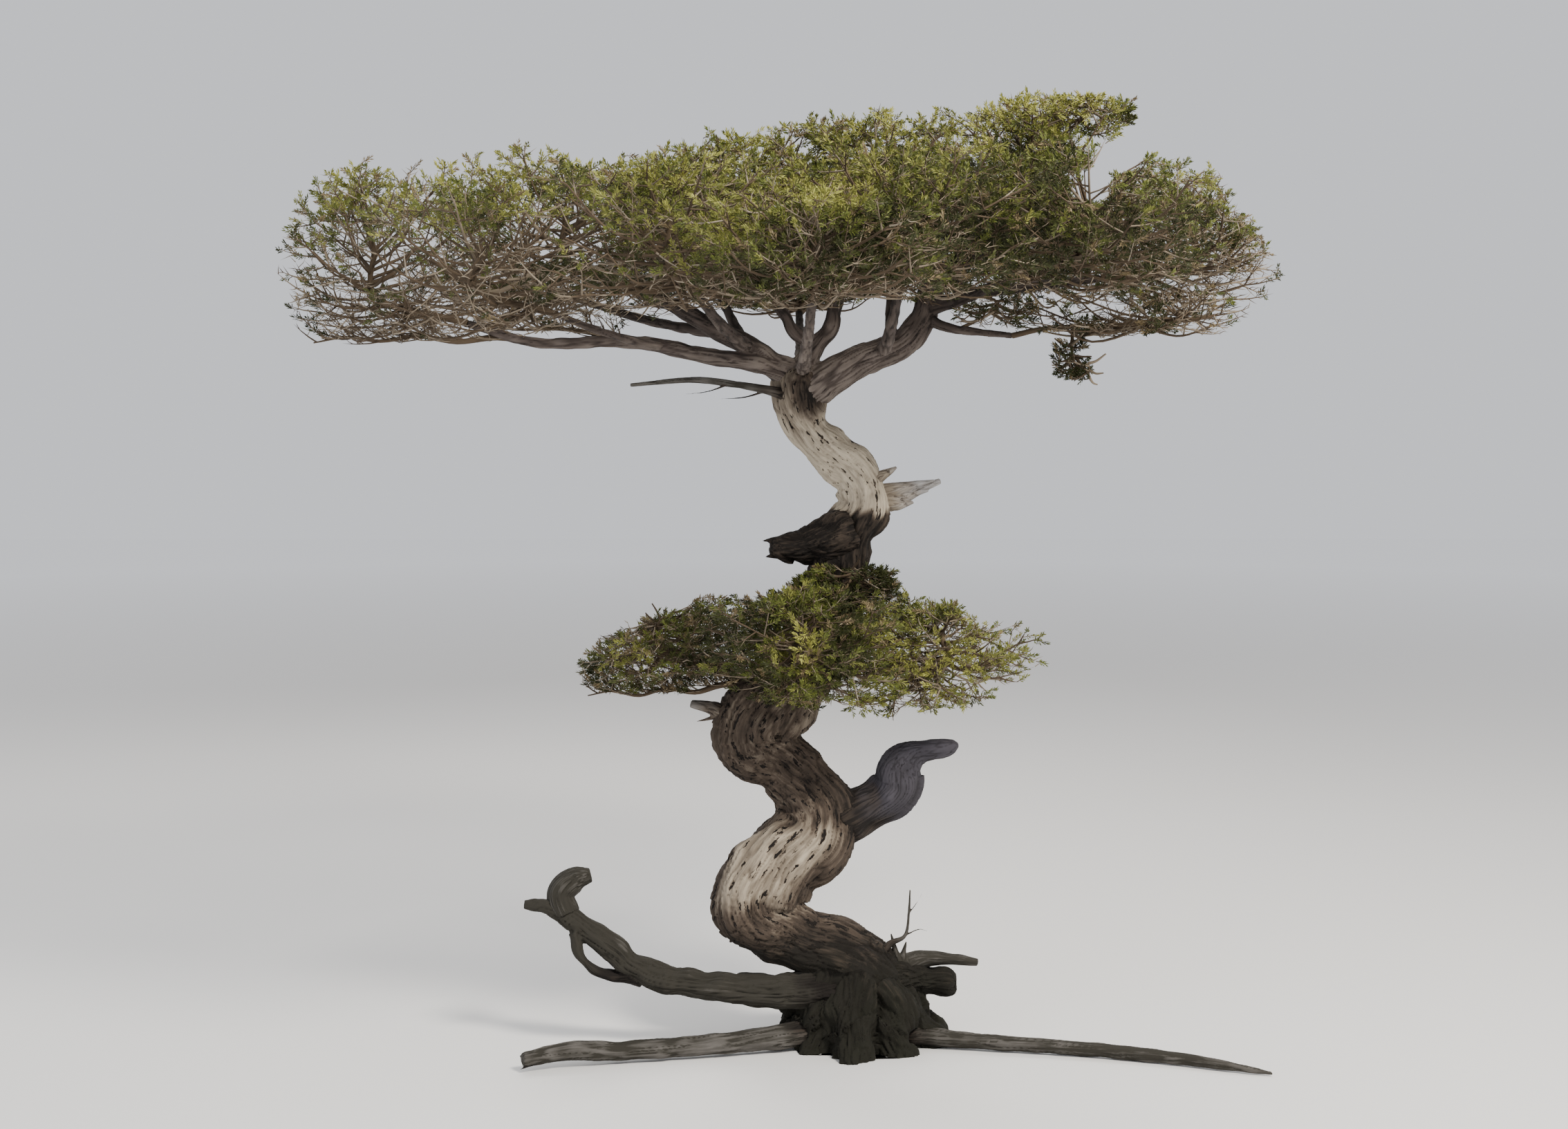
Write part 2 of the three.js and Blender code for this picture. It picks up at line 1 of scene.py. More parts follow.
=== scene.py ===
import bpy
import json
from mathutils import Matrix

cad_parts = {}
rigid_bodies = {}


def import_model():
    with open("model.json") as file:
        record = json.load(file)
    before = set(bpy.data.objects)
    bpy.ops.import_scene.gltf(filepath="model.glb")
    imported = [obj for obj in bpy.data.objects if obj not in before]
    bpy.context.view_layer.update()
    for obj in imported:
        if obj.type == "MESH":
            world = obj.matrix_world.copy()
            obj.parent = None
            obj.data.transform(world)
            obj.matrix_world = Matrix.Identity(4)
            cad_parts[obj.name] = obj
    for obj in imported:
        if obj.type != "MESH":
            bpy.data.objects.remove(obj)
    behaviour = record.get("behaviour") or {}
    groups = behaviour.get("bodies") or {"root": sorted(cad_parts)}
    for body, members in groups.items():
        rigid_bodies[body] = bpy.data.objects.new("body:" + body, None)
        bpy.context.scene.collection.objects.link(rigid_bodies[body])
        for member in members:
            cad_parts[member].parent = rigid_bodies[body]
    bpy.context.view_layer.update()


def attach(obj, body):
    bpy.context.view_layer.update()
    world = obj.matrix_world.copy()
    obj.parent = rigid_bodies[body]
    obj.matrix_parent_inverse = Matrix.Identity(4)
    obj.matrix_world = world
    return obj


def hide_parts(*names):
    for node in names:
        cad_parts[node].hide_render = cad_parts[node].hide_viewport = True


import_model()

import json
import math

import bpy
import numpy as np
from mathutils import Vector, noise

bpy.ops.object.select_all(action="DESELECT")

metre = 0.001
goldenAngle = math.pi * (3 - math.sqrt(5))
up = np.array([0.0, 0.0, 1.0])

# The tree's lines, as the solids have them: x, y, z and radius of each bend
trunkBends = np.array([
    (-10, 0, -120, 300), (15, 0, 60, 240), (34, -5, 225, 186), (-72, -20, 362, 134),
    (-250, -50, 446, 134), (-422, -70, 585, 184), (-330, -45, 742, 176), (-180, -10, 868, 166),
    (-178, 20, 1000, 152), (-292, 50, 1142, 136), (-425, 60, 1295, 186), (-272, 35, 1490, 152),
    (-112, 0, 1725, 130), (-66, -20, 1960, 126), (-32, -30, 2120, 112), (34, -20, 2250, 107),
    (6, 0, 2368, 98), (-126, 20, 2490, 94), (-210, 20, 2600, 98), (-232, 10, 2712, 112),
    (-226, 5, 2800, 88), (-222, 0, 2846, 40),
], float)

deadLimbs = {
    "dead_limb_right": [
        (-60, 0, 930, 100), (68, 10, 990, 95), (172, 12, 1062, 106), (188, 6, 1150, 96),
        (250, 0, 1210, 60), (338, -6, 1230, 44), (404, -9, 1243, 31), (430, -10, 1249, 10),
    ],
    "dead_limb_left": [
        (10, -60, 215, 88), (-180, -110, 226, 66), (-451, -130, 240, 54), (-781, -140, 280, 46),
        (-918, -140, 336, 45), (-1004, -140, 408, 38), (-1096, -135, 475, 34),
        (-1206, -130, 560, 37), (-1290, -130, 596, 20), (-1376, -130, 599, 5),
    ],
    "dead_horn_left": [
        (-1200, -130, 556, 34), (-1226, -120, 640, 40), (-1172, -112, 698, 37),
        (-1100, -105, 718, 16),
    ],
    "root_stub_right": [
        (60, 0, 250, 110), (190, 20, 250, 86), (300, 35, 238, 62), (392, 45, 228, 54),
        (428, 48, 224, 38),
    ],
    "root_spike_right": [
        (150, 30, 275, 38), (270, 50, 322, 26), (400, 66, 322, 16), (522, 76, 306, 5),
    ],
    "dead_twig_right": [
        (60, -20, 300, 26), (140, -30, 405, 15), (206, -35, 445, 8), (222, -38, 540, 6),
        (227, -38, 640, 4),
    ],
    "neck_stub_left": [
        (-30, -40, 2125, 110), (-140, -70, 2096, 92), (-240, -95, 2078, 64),
        (-325, -115, 2080, 46), (-354, -120, 2084, 22),
    ],
    "knee_stub_right": [
        (40, -10, 2262, 82), (140, 10, 2268, 52), (235, 30, 2302, 27), (352, 50, 2346, 7),
    ],
    "shoulder_stub_left": [(-480, 40, 1330, 52), (-590, 15, 1392, 30), (-690, 0, 1418, 17)],
    "dead_branch_left": [
        (-240, -20, 2690, 30), (-366, -70, 2722, 15), (-520, -110, 2748, 11),
        (-683, -130, 2762, 9), (-925, -160, 2741, 4),
    ],
    "surface_root_right": [
        (40, -80, 60, 62), (330, -150, 44, 38), (640, -215, 36, 32), (960, -290, 33, 30),
        (1270, -400, 30, 27), (1500, -505, 22, 18), (1640, -560, 12, 7),
    ],
    "surface_root_left": [
        (-40, -60, 70, 80), (-300, -190, 58, 52), (-640, -290, 48, 43), (-960, -370, 48, 40),
        (-1180, -430, 62, 38), (-1345, -500, 50, 31),
    ],
}

# Each mass of the crown: centre and half size; its bough, by what carries it, how far along, the
# bends on its way and its radii at both ends; how many twigs its solid has; the share of its height
# that is bare from below; and how leafy and how sunny it is. plainSpace, further down, says what
# the others mean and stand at. Some have low twigs that carry foliage on (leaders), small clumps
# (lobes) or a stem that follows points of its own (stem).
crown = [
    dict(name="east_top", centre=(720, 120, 3640), half=(430, 430, 340), parent="trunk", share=0.9,
         via=[(12, -20, 2842), (184, 0, 2914), (274, 30, 3020), (316, 50, 3150)], radius=(78, 42),
         twigs=7, bare=0.2, leafy=1.0, sunny=0.06,
         lobes=[dict(root=(720, 120, 3680), centre=(955, 60, 3862), half=(215, 170, 92), fill=8,
                     leafy=0.72, sunny=0.12, barren=0.9)]),
    dict(name="west_upper", centre=(-1190, -60, 3390), half=(410, 430, 330), parent="trunk",
         share=0.94, via=[(-335, -5, 2822), (-440, -5, 2898), (-560, -20, 2958), (-720, -30, 3050)],
         radius=(56, 27), twigs=7, bare=0.2, leafy=0.72, sunny=0.06, thin=0.42, barren=0.9,
         brown=0.12, loose=(95, 95, 115), fill=38,
         leaders=[[(-941, -105, 2918, 14), (-1060, -84, 2950, 11), (-1230, -50, 2974, 9),
                   (-1400, -74, 2970, 6), (-1560, -60, 2998, 4)]]),
    dict(name="west_tip", centre=(-1960, -140, 3250), half=(430, 430, 390), parent="trunk",
         share=0.93,
         via=[(-390, -45, 2822), (-597, -75, 2858), (-941, -105, 2918), (-1300, -130, 2912)],
         radius=(42, 17), twigs=7, bare=0.25, leafy=0.66, sunny=0.04, thin=0.42, barren=0.9,
         brown=0.14, loose=(60, 95, 40), fill=38,
         leaders=[[(-1300, -130, 2912, 16), (-1470, -116, 2936, 14), (-1630, -152, 2917, 12),
                   (-1790, -132, 2940, 10), (-1940, -164, 2919, 8), (-2080, -140, 2936, 6),
                   (-2210, -168, 2912, 3)]]),
    dict(name="mid_east", centre=(20, -120, 3530), half=(420, 420, 360), parent="trunk", share=0.97,
         via=[(-175, 10, 2898), (-108, 20, 2984), (-94, 10, 3060)], radius=(44, 26), twigs=7,
         bare=0.25, leafy=1.0, sunny=0.08),
    dict(name="mid_west", centre=(-560, -230, 3450), half=(400, 400, 350), parent="bough_mid_east",
         share=0.28, via=[(-252, -20, 2956), (-308, -50, 3040)], radius=(30, 20), leafy=0.95,
         sunny=0.04, thin=0.12),
    dict(name="east_tip", centre=(1390, 30, 3340), half=(410, 430, 280), parent="bough_east_top",
         share=0.84, via=[(480, 52, 3132), (656, 50, 3146)], radius=(30, 17), twigs=7,
         leafy=0.42, sunny=0.04, thin=0.3, barren=1.0, brown=0.34, loose=(50, 95, 30)),
    dict(name="east_low", centre=(1080, -260, 2960), half=(480, 300, 190), parent="bough_east_top",
         share=0.63, via=[(360, -20, 2984), (509, -60, 2960)], radius=(24, 13), twigs=5, bare=0,
         leafy=0.16, sunny=-0.1, barren=0.8, brown=0.3, loose=(60, 20, 0),
         stem=[(780, -170, 2972), (1080, -240, 2985), (1420, -260, 3010)],
         lobes=[
             dict(root=(860, -250, 2985), centre=(852, -300, 2850), half=(96, 95, 98), fill=11,
                  leafy=1.35, sunny=-0.2, barren=0.9),
             dict(root=(858, -290, 2860), centre=(915, -320, 2795), half=(84, 80, 66), fill=6,
                  leafy=1.2, sunny=-0.2, barren=0.9),
             dict(root=(430, -40, 2978), centre=(560, -110, 3045), half=(230, 150, 85), fill=10,
                  leafy=0.35, sunny=-0.05, barren=0.8),
         ]),
    dict(name="mid_front", centre=(-720, -1060, 3280), half=(460, 420, 300),
         parent="bough_west_upper", share=0.42, radius=(30, 19), leafy=0.75, thin=0.2),
    dict(name="front_far", centre=(-190, -1440, 3180), half=(420, 300, 220), parent="trunk",
         share=0.955, radius=(30, 17), twigs=5, bare=0.25, leafy=0.7, loose=(95, 30, 30)),
    dict(name="front_east", centre=(160, -980, 3330), half=(440, 430, 290),
         parent="bough_east_top", share=0.3, radius=(30, 19), leafy=0.9),
    dict(name="east_front", centre=(860, -720, 3370), half=(430, 430, 280),
         parent="bough_east_top", share=0.66, radius=(28, 18), leafy=0.95, sunny=-0.06),
    dict(name="west_front", centre=(-1450, -820, 3200), half=(410, 420, 290),
         parent="bough_west_tip", share=0.52, radius=(20, 14), bare=0.25, leafy=0.52, thin=0.4),
    dict(name="mid_back", centre=(-660, 820, 3390), half=(450, 440, 310),
         parent="bough_west_upper", share=0.36, radius=(30, 19), leafy=0.9),
    dict(name="back_east", centre=(180, 830, 3490), half=(450, 440, 310),
         parent="bough_east_top", share=0.34, radius=(32, 20), leafy=1.0),
    dict(name="east_back", centre=(900, 900, 3400), half=(420, 420, 280),
         parent="bough_east_top", share=0.7, radius=(28, 18), leafy=0.9),
    dict(name="back_far", centre=(-230, 1450, 3260), half=(450, 320, 250), parent="trunk",
         share=0.948, radius=(32, 18), twigs=5, bare=0.25, leafy=0.8, loose=(95, 20, 30)),
    dict(name="west_back", centre=(-1480, 680, 3310), half=(430, 430, 300),
         parent="bough_west_upper", share=0.6, radius=(26, 16), twigs=5, bare=0.2, leafy=0.6,
         thin=0.3),
]

# The masses round the middle of the trunk: their stems spring from it at "root"
skirt = [
    dict(name="west", centre=(-810, -70, 1690), half=(380, 330, 220), root=(-300, 30, 1480),
         leafy=0.7, barren=0.9, brown=0.2,
         leaders=[[(-400, 20, 1514, 19), (-560, -30, 1500, 15), (-670, -54, 1472, 12),
                   (-790, -40, 1486, 9), (-900, -84, 1461, 7), (-1010, -66, 1478, 5),
                   (-1110, -100, 1464, 3)]]),
    dict(name="front", centre=(-230, -410, 1670), half=(380, 330, 280), root=(-230, 15, 1560),
         leafy=1.0, sunny=0.08, loose=(60, 0, 20),
         lobes=[dict(root=(-60, -70, 1870), centre=(-30, -200, 1935), half=(215, 110, 95), fill=15,
                     leafy=1.5, sunny=-0.32)]),
    dict(name="east", centre=(340, -100, 1620), half=(420, 340, 290), root=(-200, 15, 1590),
         twigs=7, leafy=0.66, sunny=0.2, brown=0.1),
    dict(name="back", centre=(-130, 430, 1730), half=(390, 330, 270), root=(-220, 20, 1580),
         leafy=0.9, loose=(60, 20, 0)),
]

# What the photo shows of the crown and of the skirt, x and z in the plane y = 0: their outline,
# holes in it (half width and half height), windows that stand open (with how open each is) and
# light or dark spots (with how much)
views = dict(
    crown=dict(
        top=[(-2420, 3200), (-2330, 3500), (-2250, 3600), (-2150, 3655), (-2000, 3740),
             (-1900, 3775), (-1700, 3765), (-1560, 3700), (-1430, 3745), (-1300, 3735),
             (-1180, 3670), (-1000, 3660), (-850, 3710), (-750, 3765), (-600, 3800),
             (-400, 3795), (-200, 3850), (0, 3875), (150, 3905), (300, 3885), (420, 3850),
             (520, 3905), (600, 3960), (750, 3985), (900, 3960), (1050, 3930), (1180, 3860),
             (1250, 3710), (1450, 3690), (1540, 3560), (1660, 3400), (1800, 3150)],
        bottom=[(-2420, 3250), (-2330, 3000), (-2150, 2925), (-1000, 2935), (-900, 3000),
                (-700, 3050), (-450, 3060), (-250, 3040), (-50, 3080), (100, 3120),
                (300, 3060), (420, 2955), (1550, 2955), (1700, 3080), (1800, 3250)],
        holes=[(960, 3570, 90, 70), (1075, 3680, 110, 60), (1190, 3755, 90, 45)],
        windows=[(-1240, 3360, 220, 135, 0.88), (-1930, 3250, 220, 90, 0.72),
                 (950, 3050, 330, 50, 0.6), (-1660, 3350, 140, 60, 0.45)],
        lights=[(-1720, 3640, 330, 80, 0.2), (-60, 3540, 240, 65, 0.3),
                (790, 3920, 210, 60, 0.22), (-2150, 3530, 150, 60, 0.15),
                (500, 3330, 430, 170, -0.2), (700, 3650, 200, 100, -0.22),
                (-1850, 3690, 90, 45, -0.3), (-600, 3400, 300, 190, 0.28)],
    ),
    skirt=dict(
        top=[(-1210, 1560), (-1120, 1650), (-1000, 1725), (-750, 1800), (-640, 1860),
             (-450, 1870), (-330, 1880), (-200, 1985), (150, 1985), (260, 1850), (420, 1865),
             (520, 1760), (800, 1710), (860, 1600)],
        bottom=[(-1210, 1600), (-1120, 1490), (-750, 1455), (-600, 1500), (-400, 1410),
                (-100, 1370), (100, 1355), (500, 1385), (650, 1480), (860, 1620)],
        windows=[(490, 1520, 110, 70, 0.7), (-450, 1490, 60, 40, 0.7), (560, 1720, 140, 70, 0.5),
                 (330, 1740, 110, 60, 0.3), (-660, 1480, 60, 40, 0.5)],
        lights=[(-245, 1650, 110, 110, 0.66), (-560, 1600, 160, 110, -0.4),
                (50, 1800, 200, 90, -0.45), (-480, 1790, 190, 85, -0.4),
                (-50, 1640, 90, 110, -0.28), (330, 1590, 280, 200, 0.16),
                (-30, 1930, 160, 60, -0.22)],
    ),
)
eye = np.array([-300.0, -9400.0, 2600.0])  # the camera's place, from where these are seen


# The rule of growth
def unit(v):
    return v / np.maximum(np.linalg.norm(v, axis=-1, keepdims=True), 1e-9)


def mix(a, b, s):
    return a + (b - a) * s


def makeDice(seed):
    # the solids' own dice: each roll gives a number from 0 to 1
    state = seed * 7919 + 17

    def roll():
        nonlocal state
        state = (state * 16807) % 2147483647
        return state / 2147483647

    roll()
    roll()
    return roll


def stationAt(stations, t):
    # on a smooth curve through the stations, t stations along it
    last = len(stations) - 1
    i = min(int(t), last - 1)
    u = t - i
    b, c = stations[i], stations[i + 1]
    a = stations[i - 1] if i > 0 else 2 * b - c
    d = stations[i + 2] if i < last - 1 else 2 * c - b
    curve = (2 * a - 5 * b + 4 * c - d) * u * u
    return 0.5 * (2 * b + (c - a) * u + curve + (3 * b - a - 3 * c + d) * u ** 3)


def samplesOf(stations, steps):
    count = (len(stations) - 1) * steps
    rows = np.array([stationAt(stations, i / steps) for i in range(count + 1)])
    order = np.arange(count + 1)
    ahead = rows[np.minimum(order + 1, count), :3] - rows[np.maximum(order - 1, 0), :3]
    return rows[:, :3], rows[:, 3], unit(ahead)


def runAlong(places):
    steps = np.linalg.norm(np.diff(places, axis=0), axis=1)
    return np.concatenate([[0], np.cumsum(steps)])


def framesAlong(headings):
    # two directions square to each heading, carried along the limb without a twist
    normal = np.array([0.0, -1.0, 0.0])
    normals = []
    for heading in headings:
        across = np.array([1.0, 0.0, 0.0]) if abs(normal @ heading) > 0.9 else normal
        normal = unit(across - heading * (across @ heading))
        normals.append(normal)
    normals = np.array(normals)
    return normals, np.cross(headings, normals)


squareness = 2.7  # 2 makes a foliage space an ellipsoid, more makes it boxier
spaceMargin = 3  # clear space that twigs keep to the edge of their own space


def depthIn(space, points):
    # 0 at the middle of a space and 1 at its surface
    ratio = np.abs((points - space["centre"]) / space["half"]) ** squareness
    return ratio.sum(axis=-1) ** (1 / squareness)


def heartOf(space):
    return space["centre"] + up * space["heart"] * space["half"][2]


def entryOf(space, start):
    # where the way from start to the heart enters the space
    heart = heartOf(space)
    outside, inside = 0.0, 1.0
    for _ in range(24):
        middle = (outside + inside) / 2
        if depthIn(space, mix(start, heart, middle)) > 1:
            outside = middle
        else:
            inside = middle
    return mix(start, heart, inside)


def planeBetween(space, other):
    # parts the way between two middles by how far each space reaches along it
    heading = other["centre"] - space["centre"]
    distance = np.linalg.norm(heading)
    heading = heading / distance
    own = 1 / depthIn(space, space["centre"] + heading)
    theirs = 1 / depthIn(other, other["centre"] - heading)
    return heading, heading @ space["centre"] + distance * own / (own + theirs)


def isInside(space, points, margin):
    kept = depthIn(space, points) <= 1 - margin / min(space["half"])
    for heading, limit in space["planes"]:
        kept &= points @ heading < limit - margin
    return kept


def seenAt(points):
    # where a point shows in the plane y = 0, seen from the camera's place
    scale = eye[1] / (eye[1] - points[..., 1])
    return eye[0] + (points[..., 0] - eye[0]) * scale, eye[2] + (points[..., 2] - eye[2]) * scale


def spotsAt(spots, points):
    x, z = seenAt(points)
    total = np.zeros(len(points))
    for spotX, spotZ, wide, tall, amount in spots:
        total += amount * np.exp(-((x - spotX) / wide) ** 2 - ((z - spotZ) / tall) ** 2)
    return total


def isNear(space, points, margin):
    # the same box, loosened, with squarer corners and no parting planes, so that neighbours close
    # up, within the outline that the photo shows
    half = space["half"] + space["loose"] - margin
    ratio = np.abs((points - space["centre"]) / half) ** 4
    x, z = seenAt(points)
    y = points[..., 1]
    # two waves fray the outline by up to 40 mm
    ragged = 24 * np.sin(x / 58 + y / 90 + z / 70) + 16 * np.sin(x / 27 - y / 50 - z / 33)
    kept = (ratio.sum(axis=-1) <= 1 + np.minimum(ragged, 0) / 60) & (points[..., 2] > 20)
    if space["top"]:
        kept &= z + ragged < np.interp(x, *np.transpose(space["top"]))
        kept &= z + 0.5 * ragged > np.interp(x, *np.transpose(space["bottom"]))
        for holeX, holeZ, wide, tall in space["holes"]:
            kept &= ((x - holeX) / wide) ** 2 + ((z - holeZ) / tall) ** 2 > 1
    return kept


def isInBoth(space, points, margin):
    return isInside(space, points, margin) & isNear(space, points, margin)


def reachIn(space, start, heading, within):
    # how far a twig can run on and stay within the space
    near, far = 0.0, 2 * max(space["half"])
    for _ in range(16):
        middle = (near + far) / 2
        if within(space, start + heading * middle, spaceMargin):
            near = middle
        else:
            far = middle
    return near


plainSpace = dict(  # what a mass has where its row says nothing else
    loose=(95, 95, 30),  # how far it may leave its box in x, y and z
    twigs=6,  # main twigs, as its solid has them
    fill=36,  # further main twigs, and how far short of the outline they stop
    short=105,
    lowest=-0.45,  # how far down the main twigs start, and where the heart lies, in half heights
    heart=-0.4,
    girth=28,  # of a stem that springs from "root"
    bare=0,
    thin=0,  # how much less leafy it gets downwards
    barren=0.6,  # the share of the leafless twiglets that stay
    brown=0.06,  # the share of brown sprays
    sunny=0,
    via=[], top=[], holes=[], windows=[], lights=[], leaders=[], lobes=[],
)
plainLobe = dict(plainSpace, loose=(0, 0, 0), twigs=0, short=60, heart=0, girth=8)
skirtLooks = dict(lowest=-0.85, heart=-0.15, loose=(50, 30, 30), fill=33)

masses = []
for kind, rows, looks in (("crown", crown, dict(bare=0.12)), ("skirt", skirt, skirtLooks)):
    for row in rows:
        space = {**plainSpace, **views[kind], **looks, **row}
        space["node"] = kind + "_" + row["name"]
        space["seed"] = len(masses) + 1
        space["lobes"] = [
            {**plainLobe, **lobe, "seed": space["seed"] + 100} for lobe in space["lobes"]
        ]
        for grown in [space, *space["lobes"]]:
            grown["centre"] = np.array(grown["centre"], float)
            grown["half"] = np.array(grown["half"], float)
        masses.append(space)
for space in masses:
    space["planes"] = [planeBetween(space, other) for other in masses if other is not space]

limbLines = {"trunk": trunkBends}
for name, bends in deadLimbs.items():
    limbLines[name] = np.array(bends, float)


def boughLine(space):
    carrier = limbLines[space["parent"]]
    start = stationAt(carrier, space["share"] * (len(carrier) - 1))[:3]
    via = [np.array(bend, float) for bend in space["via"]]
    tip = entryOf(space, via[-1] if via else start)
    if not via:
        for s in (0.3, 0.65):
            bend = mix(start, tip, s)
            bend[2] = mix(start[2], tip[2], s ** 1.4)
            via.append(bend)
    route = np.array([start, *via, tip])
    run = runAlong(route)
    radii = mix(space["radius"][0], space["radius"][1], run / run[-1])
    return np.column_stack([route, radii])


for space in masses:
    if "parent" in space:
        limbLines["bough_" + space["name"]] = boughLine(space)

print("lines of", len(limbLines), "limbs and", len(masses), "masses worked out")


# Wood
def sweepLimb(stations, spacing, sides, flute=0.0, collar=0.0, squash=1.0):
    # flutes turn slowly about the limb, a collar swells its foot, and squash flattens it
    steps = max(2, int(runAlong(stations[:, :3])[-1] / spacing / (len(stations) - 1)))
    places, radii, headings = samplesOf(stations, steps)
    normals, sideways = framesAlong(headings)
    run = runAlong(places)
    swell = 1 + collar * np.exp(-run / (1.6 * radii[0]))
    angles = np.arange(sides) * 2 * math.pi / sides
    station = np.arange(len(places)) / steps
    flutes = 1 + flute * np.cos(3 * angles[None, :] + 0.35 * station[:, None])
    reach = (radii * swell)[:, None] * flutes
    points = places[:, None] + (reach * np.cos(angles))[..., None] * normals[:, None]
    points = points + (reach * np.sin(angles) * squash)[..., None] * sideways[:, None]
    faces = []
    for i in range(len(places) - 1):
        for j in range(sides):
            k = (j + 1) % sides
            faces.append((i * sides + j, i * sides + k, (i + 1) * sides + k, (i + 1) * sides + j))
    top = (len(places) - 1) * sides
    faces.append(tuple(range(sides - 1, -1, -1)))
    faces.append(tuple(range(top, top + sides)))
    guide = dict(place=places, radius=radii, heading=headings, normal=normals, side=sideways, run=run)
    return points.reshape(-1, 3), faces, guide


def grainOf(points, guides):
    # straightened coordinates: two across the limb and one along it
    place, radius, heading, normal, side, run = (
        np.concatenate([g[key] for g in guides])
        for key in ("place", "radius", "heading", "normal", "side", "run")
    )
    nearest = np.empty(len(points), int)
    batch = 3000  # points at a time, to spare memory
    for i in range(0, len(points), batch):
        gap = np.linalg.norm(points[i:i + batch, None] - place[None], axis=2) - radius
        nearest[i:i + batch] = gap.argmin(axis=1)
    away = points - place[nearest]
    along = (away * heading[nearest]).sum(axis=1)
    across = (away * normal[nearest]).sum(axis=1)
    beside = (away * side[nearest]).sum(axis=1)
    return np.column_stack([across, beside, run[nearest] + along]), radius[nearest]


def noiseAt(coordinates, scale):
    rows = coordinates * np.array(scale)
    return np.array([noise.noise(row) for row in rows.tolist()])


def activate(piece):
    bpy.ops.object.select_all(action="DESELECT")
    piece.select_set(True)
    bpy.context.view_layer.objects.active = piece


def leavingRun(stations):
    # how far along a limb its middle line comes out of the trunk
    places, _, _ = samplesOf(stations, 12)
    around, thick, _ = samplesOf(trunkBends, 12)
    gap = (np.linalg.norm(places[:, None] - around[None], axis=2) - thick).min(axis=1)
    return runAlong(places)[np.argmax(gap > 0)]


def skinOver(name, sweeps, wood):
    # all sweeps of one piece, melted together under one skin
    points, faces, offset = [], [], 0
    for shape, shapeFaces, _ in sweeps:
        points.append(shape)
        faces.extend(tuple(v + offset for v in face) for face in shapeFaces)
        offset += len(shape)
    mesh = bpy.data.meshes.new(name)
    mesh.from_pydata((np.concatenate(points) * metre).tolist(), [], faces)
    piece = bpy.data.objects.new(name, mesh)
    bpy.context.collection.objects.link(piece)
    activate(piece)
    skin = piece.modifiers.new("skin", "REMESH")
    skin.mode = "VOXEL"
    skin.voxel_size = wood["voxel"] * metre
    bpy.ops.object.modifier_apply(modifier="skin")
    melt = piece.modifiers.new("melt", "SMOOTH")
    melt.factor = 0.5
    melt.iterations = wood["melt"]
    bpy.ops.object.modifier_apply(modifier="melt")
    return piece


def rowsOf(data, field):
    rows = np.empty(len(data) * 3, np.float32)
    data.foreach_get(field, rows)
    return rows.reshape(-1, 3).astype(float)


def spunAlong(grain, spiral):
    # the grain turns about the limb as it runs along it
    across, beside, run = grain.T
    turn = spiral * run * metre
    return np.column_stack([
        across * np.cos(turn) - beside * np.sin(turn),
        across * np.sin(turn) + beside * np.cos(turn),
        run,
    ])


def growWood(name, sweeps, wood, finish, nodes, tone, joint=None):
    # tone tells how pale each place is; past joint along the limb its own colour takes over
    piece = skinOver(name, sweeps, wood)
    mesh = piece.data
    places = rowsOf(mesh.vertices, "co") / metre
    normals = rowsOf(mesh.vertex_normals, "vector")
    grain, radius = grainOf(places, [guide for _, _, guide in sweeps])
    spun = spunAlong(grain, wood["spiral"])
    width, run = wood["furrowWidth"], wood["furrowLength"]
    furrow = noiseAt(spun, (1 / width, 1 / width, 1 / run))
    furrow = np.exp(-(furrow / wood["furrowEdge"]) ** 2)
    fibre = noiseAt(spun + 300, (2.6 / width, 2.6 / width, 2.2 / run))
    lump = noiseAt(spun + 900, (1 / wood["lumpSize"],) * 3)
    scale = np.clip(radius / wood["fullRadius"], 0.12, 1)  # thin limbs have a finer relief
    low = np.clip((290 - places[:, 2]) / 180, 0, 1)
    scale = scale * (1 + wood["footRelief"] * low)
    height = wood["lump"] * lump - wood["furrow"] * furrow + wood["fibre"] * fibre
    moved = places + normals * (height * scale)[:, None]
    mesh.vertices.foreach_set("co", (moved * metre).astype(np.float32).ravel())
    own = np.ones(len(places))
    if joint is not None:
        own = np.clip((grain[:, 2] - joint + 90 * lump + 30 * fibre) / 120, 0, 1)
    for key, values, kind, field in (
        ("grain", spun * metre, "FLOAT_VECTOR", "vector"),
        ("tone", tone(places, grain) + 0.1 * lump, "FLOAT", "value"),
        ("furrow", furrow, "FLOAT", "value"),
        ("own", own, "FLOAT", "value"),
    ):
        layer = mesh.attributes.new(key, kind, "POINT")
        layer.data.foreach_set(field, np.asarray(values, np.float32).ravel())
    mesh.update()
    if moved[:, 2].min() < 0:
        bpy.ops.object.mode_set(mode="EDIT")
        bpy.ops.mesh.select_all(action="SELECT")
        bpy.ops.mesh.bisect(plane_co=(0, 0, 0), plane_no=(0, 0, 1), use_fill=True, clear_inner=True)
        bpy.ops.object.mode_set(mode="OBJECT")
    bpy.ops.object.shade_smooth()
    mesh.materials.append(finish)
    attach(piece, "root")
    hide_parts(*nodes)
    print("wood", name, len(piece.data.polygons), "faces")


# Finishes
def newFinish(name, roughness):
    finish = bpy.data.materials.new(name)
    finish.use_nodes = True
    shader = finish.node_tree.nodes["Principled BSDF"]
    shader.inputs["Roughness"].default_value = roughness
    shader.inputs["Specular IOR Level"].default_value = 0.25
    return finish, finish.node_tree, shader


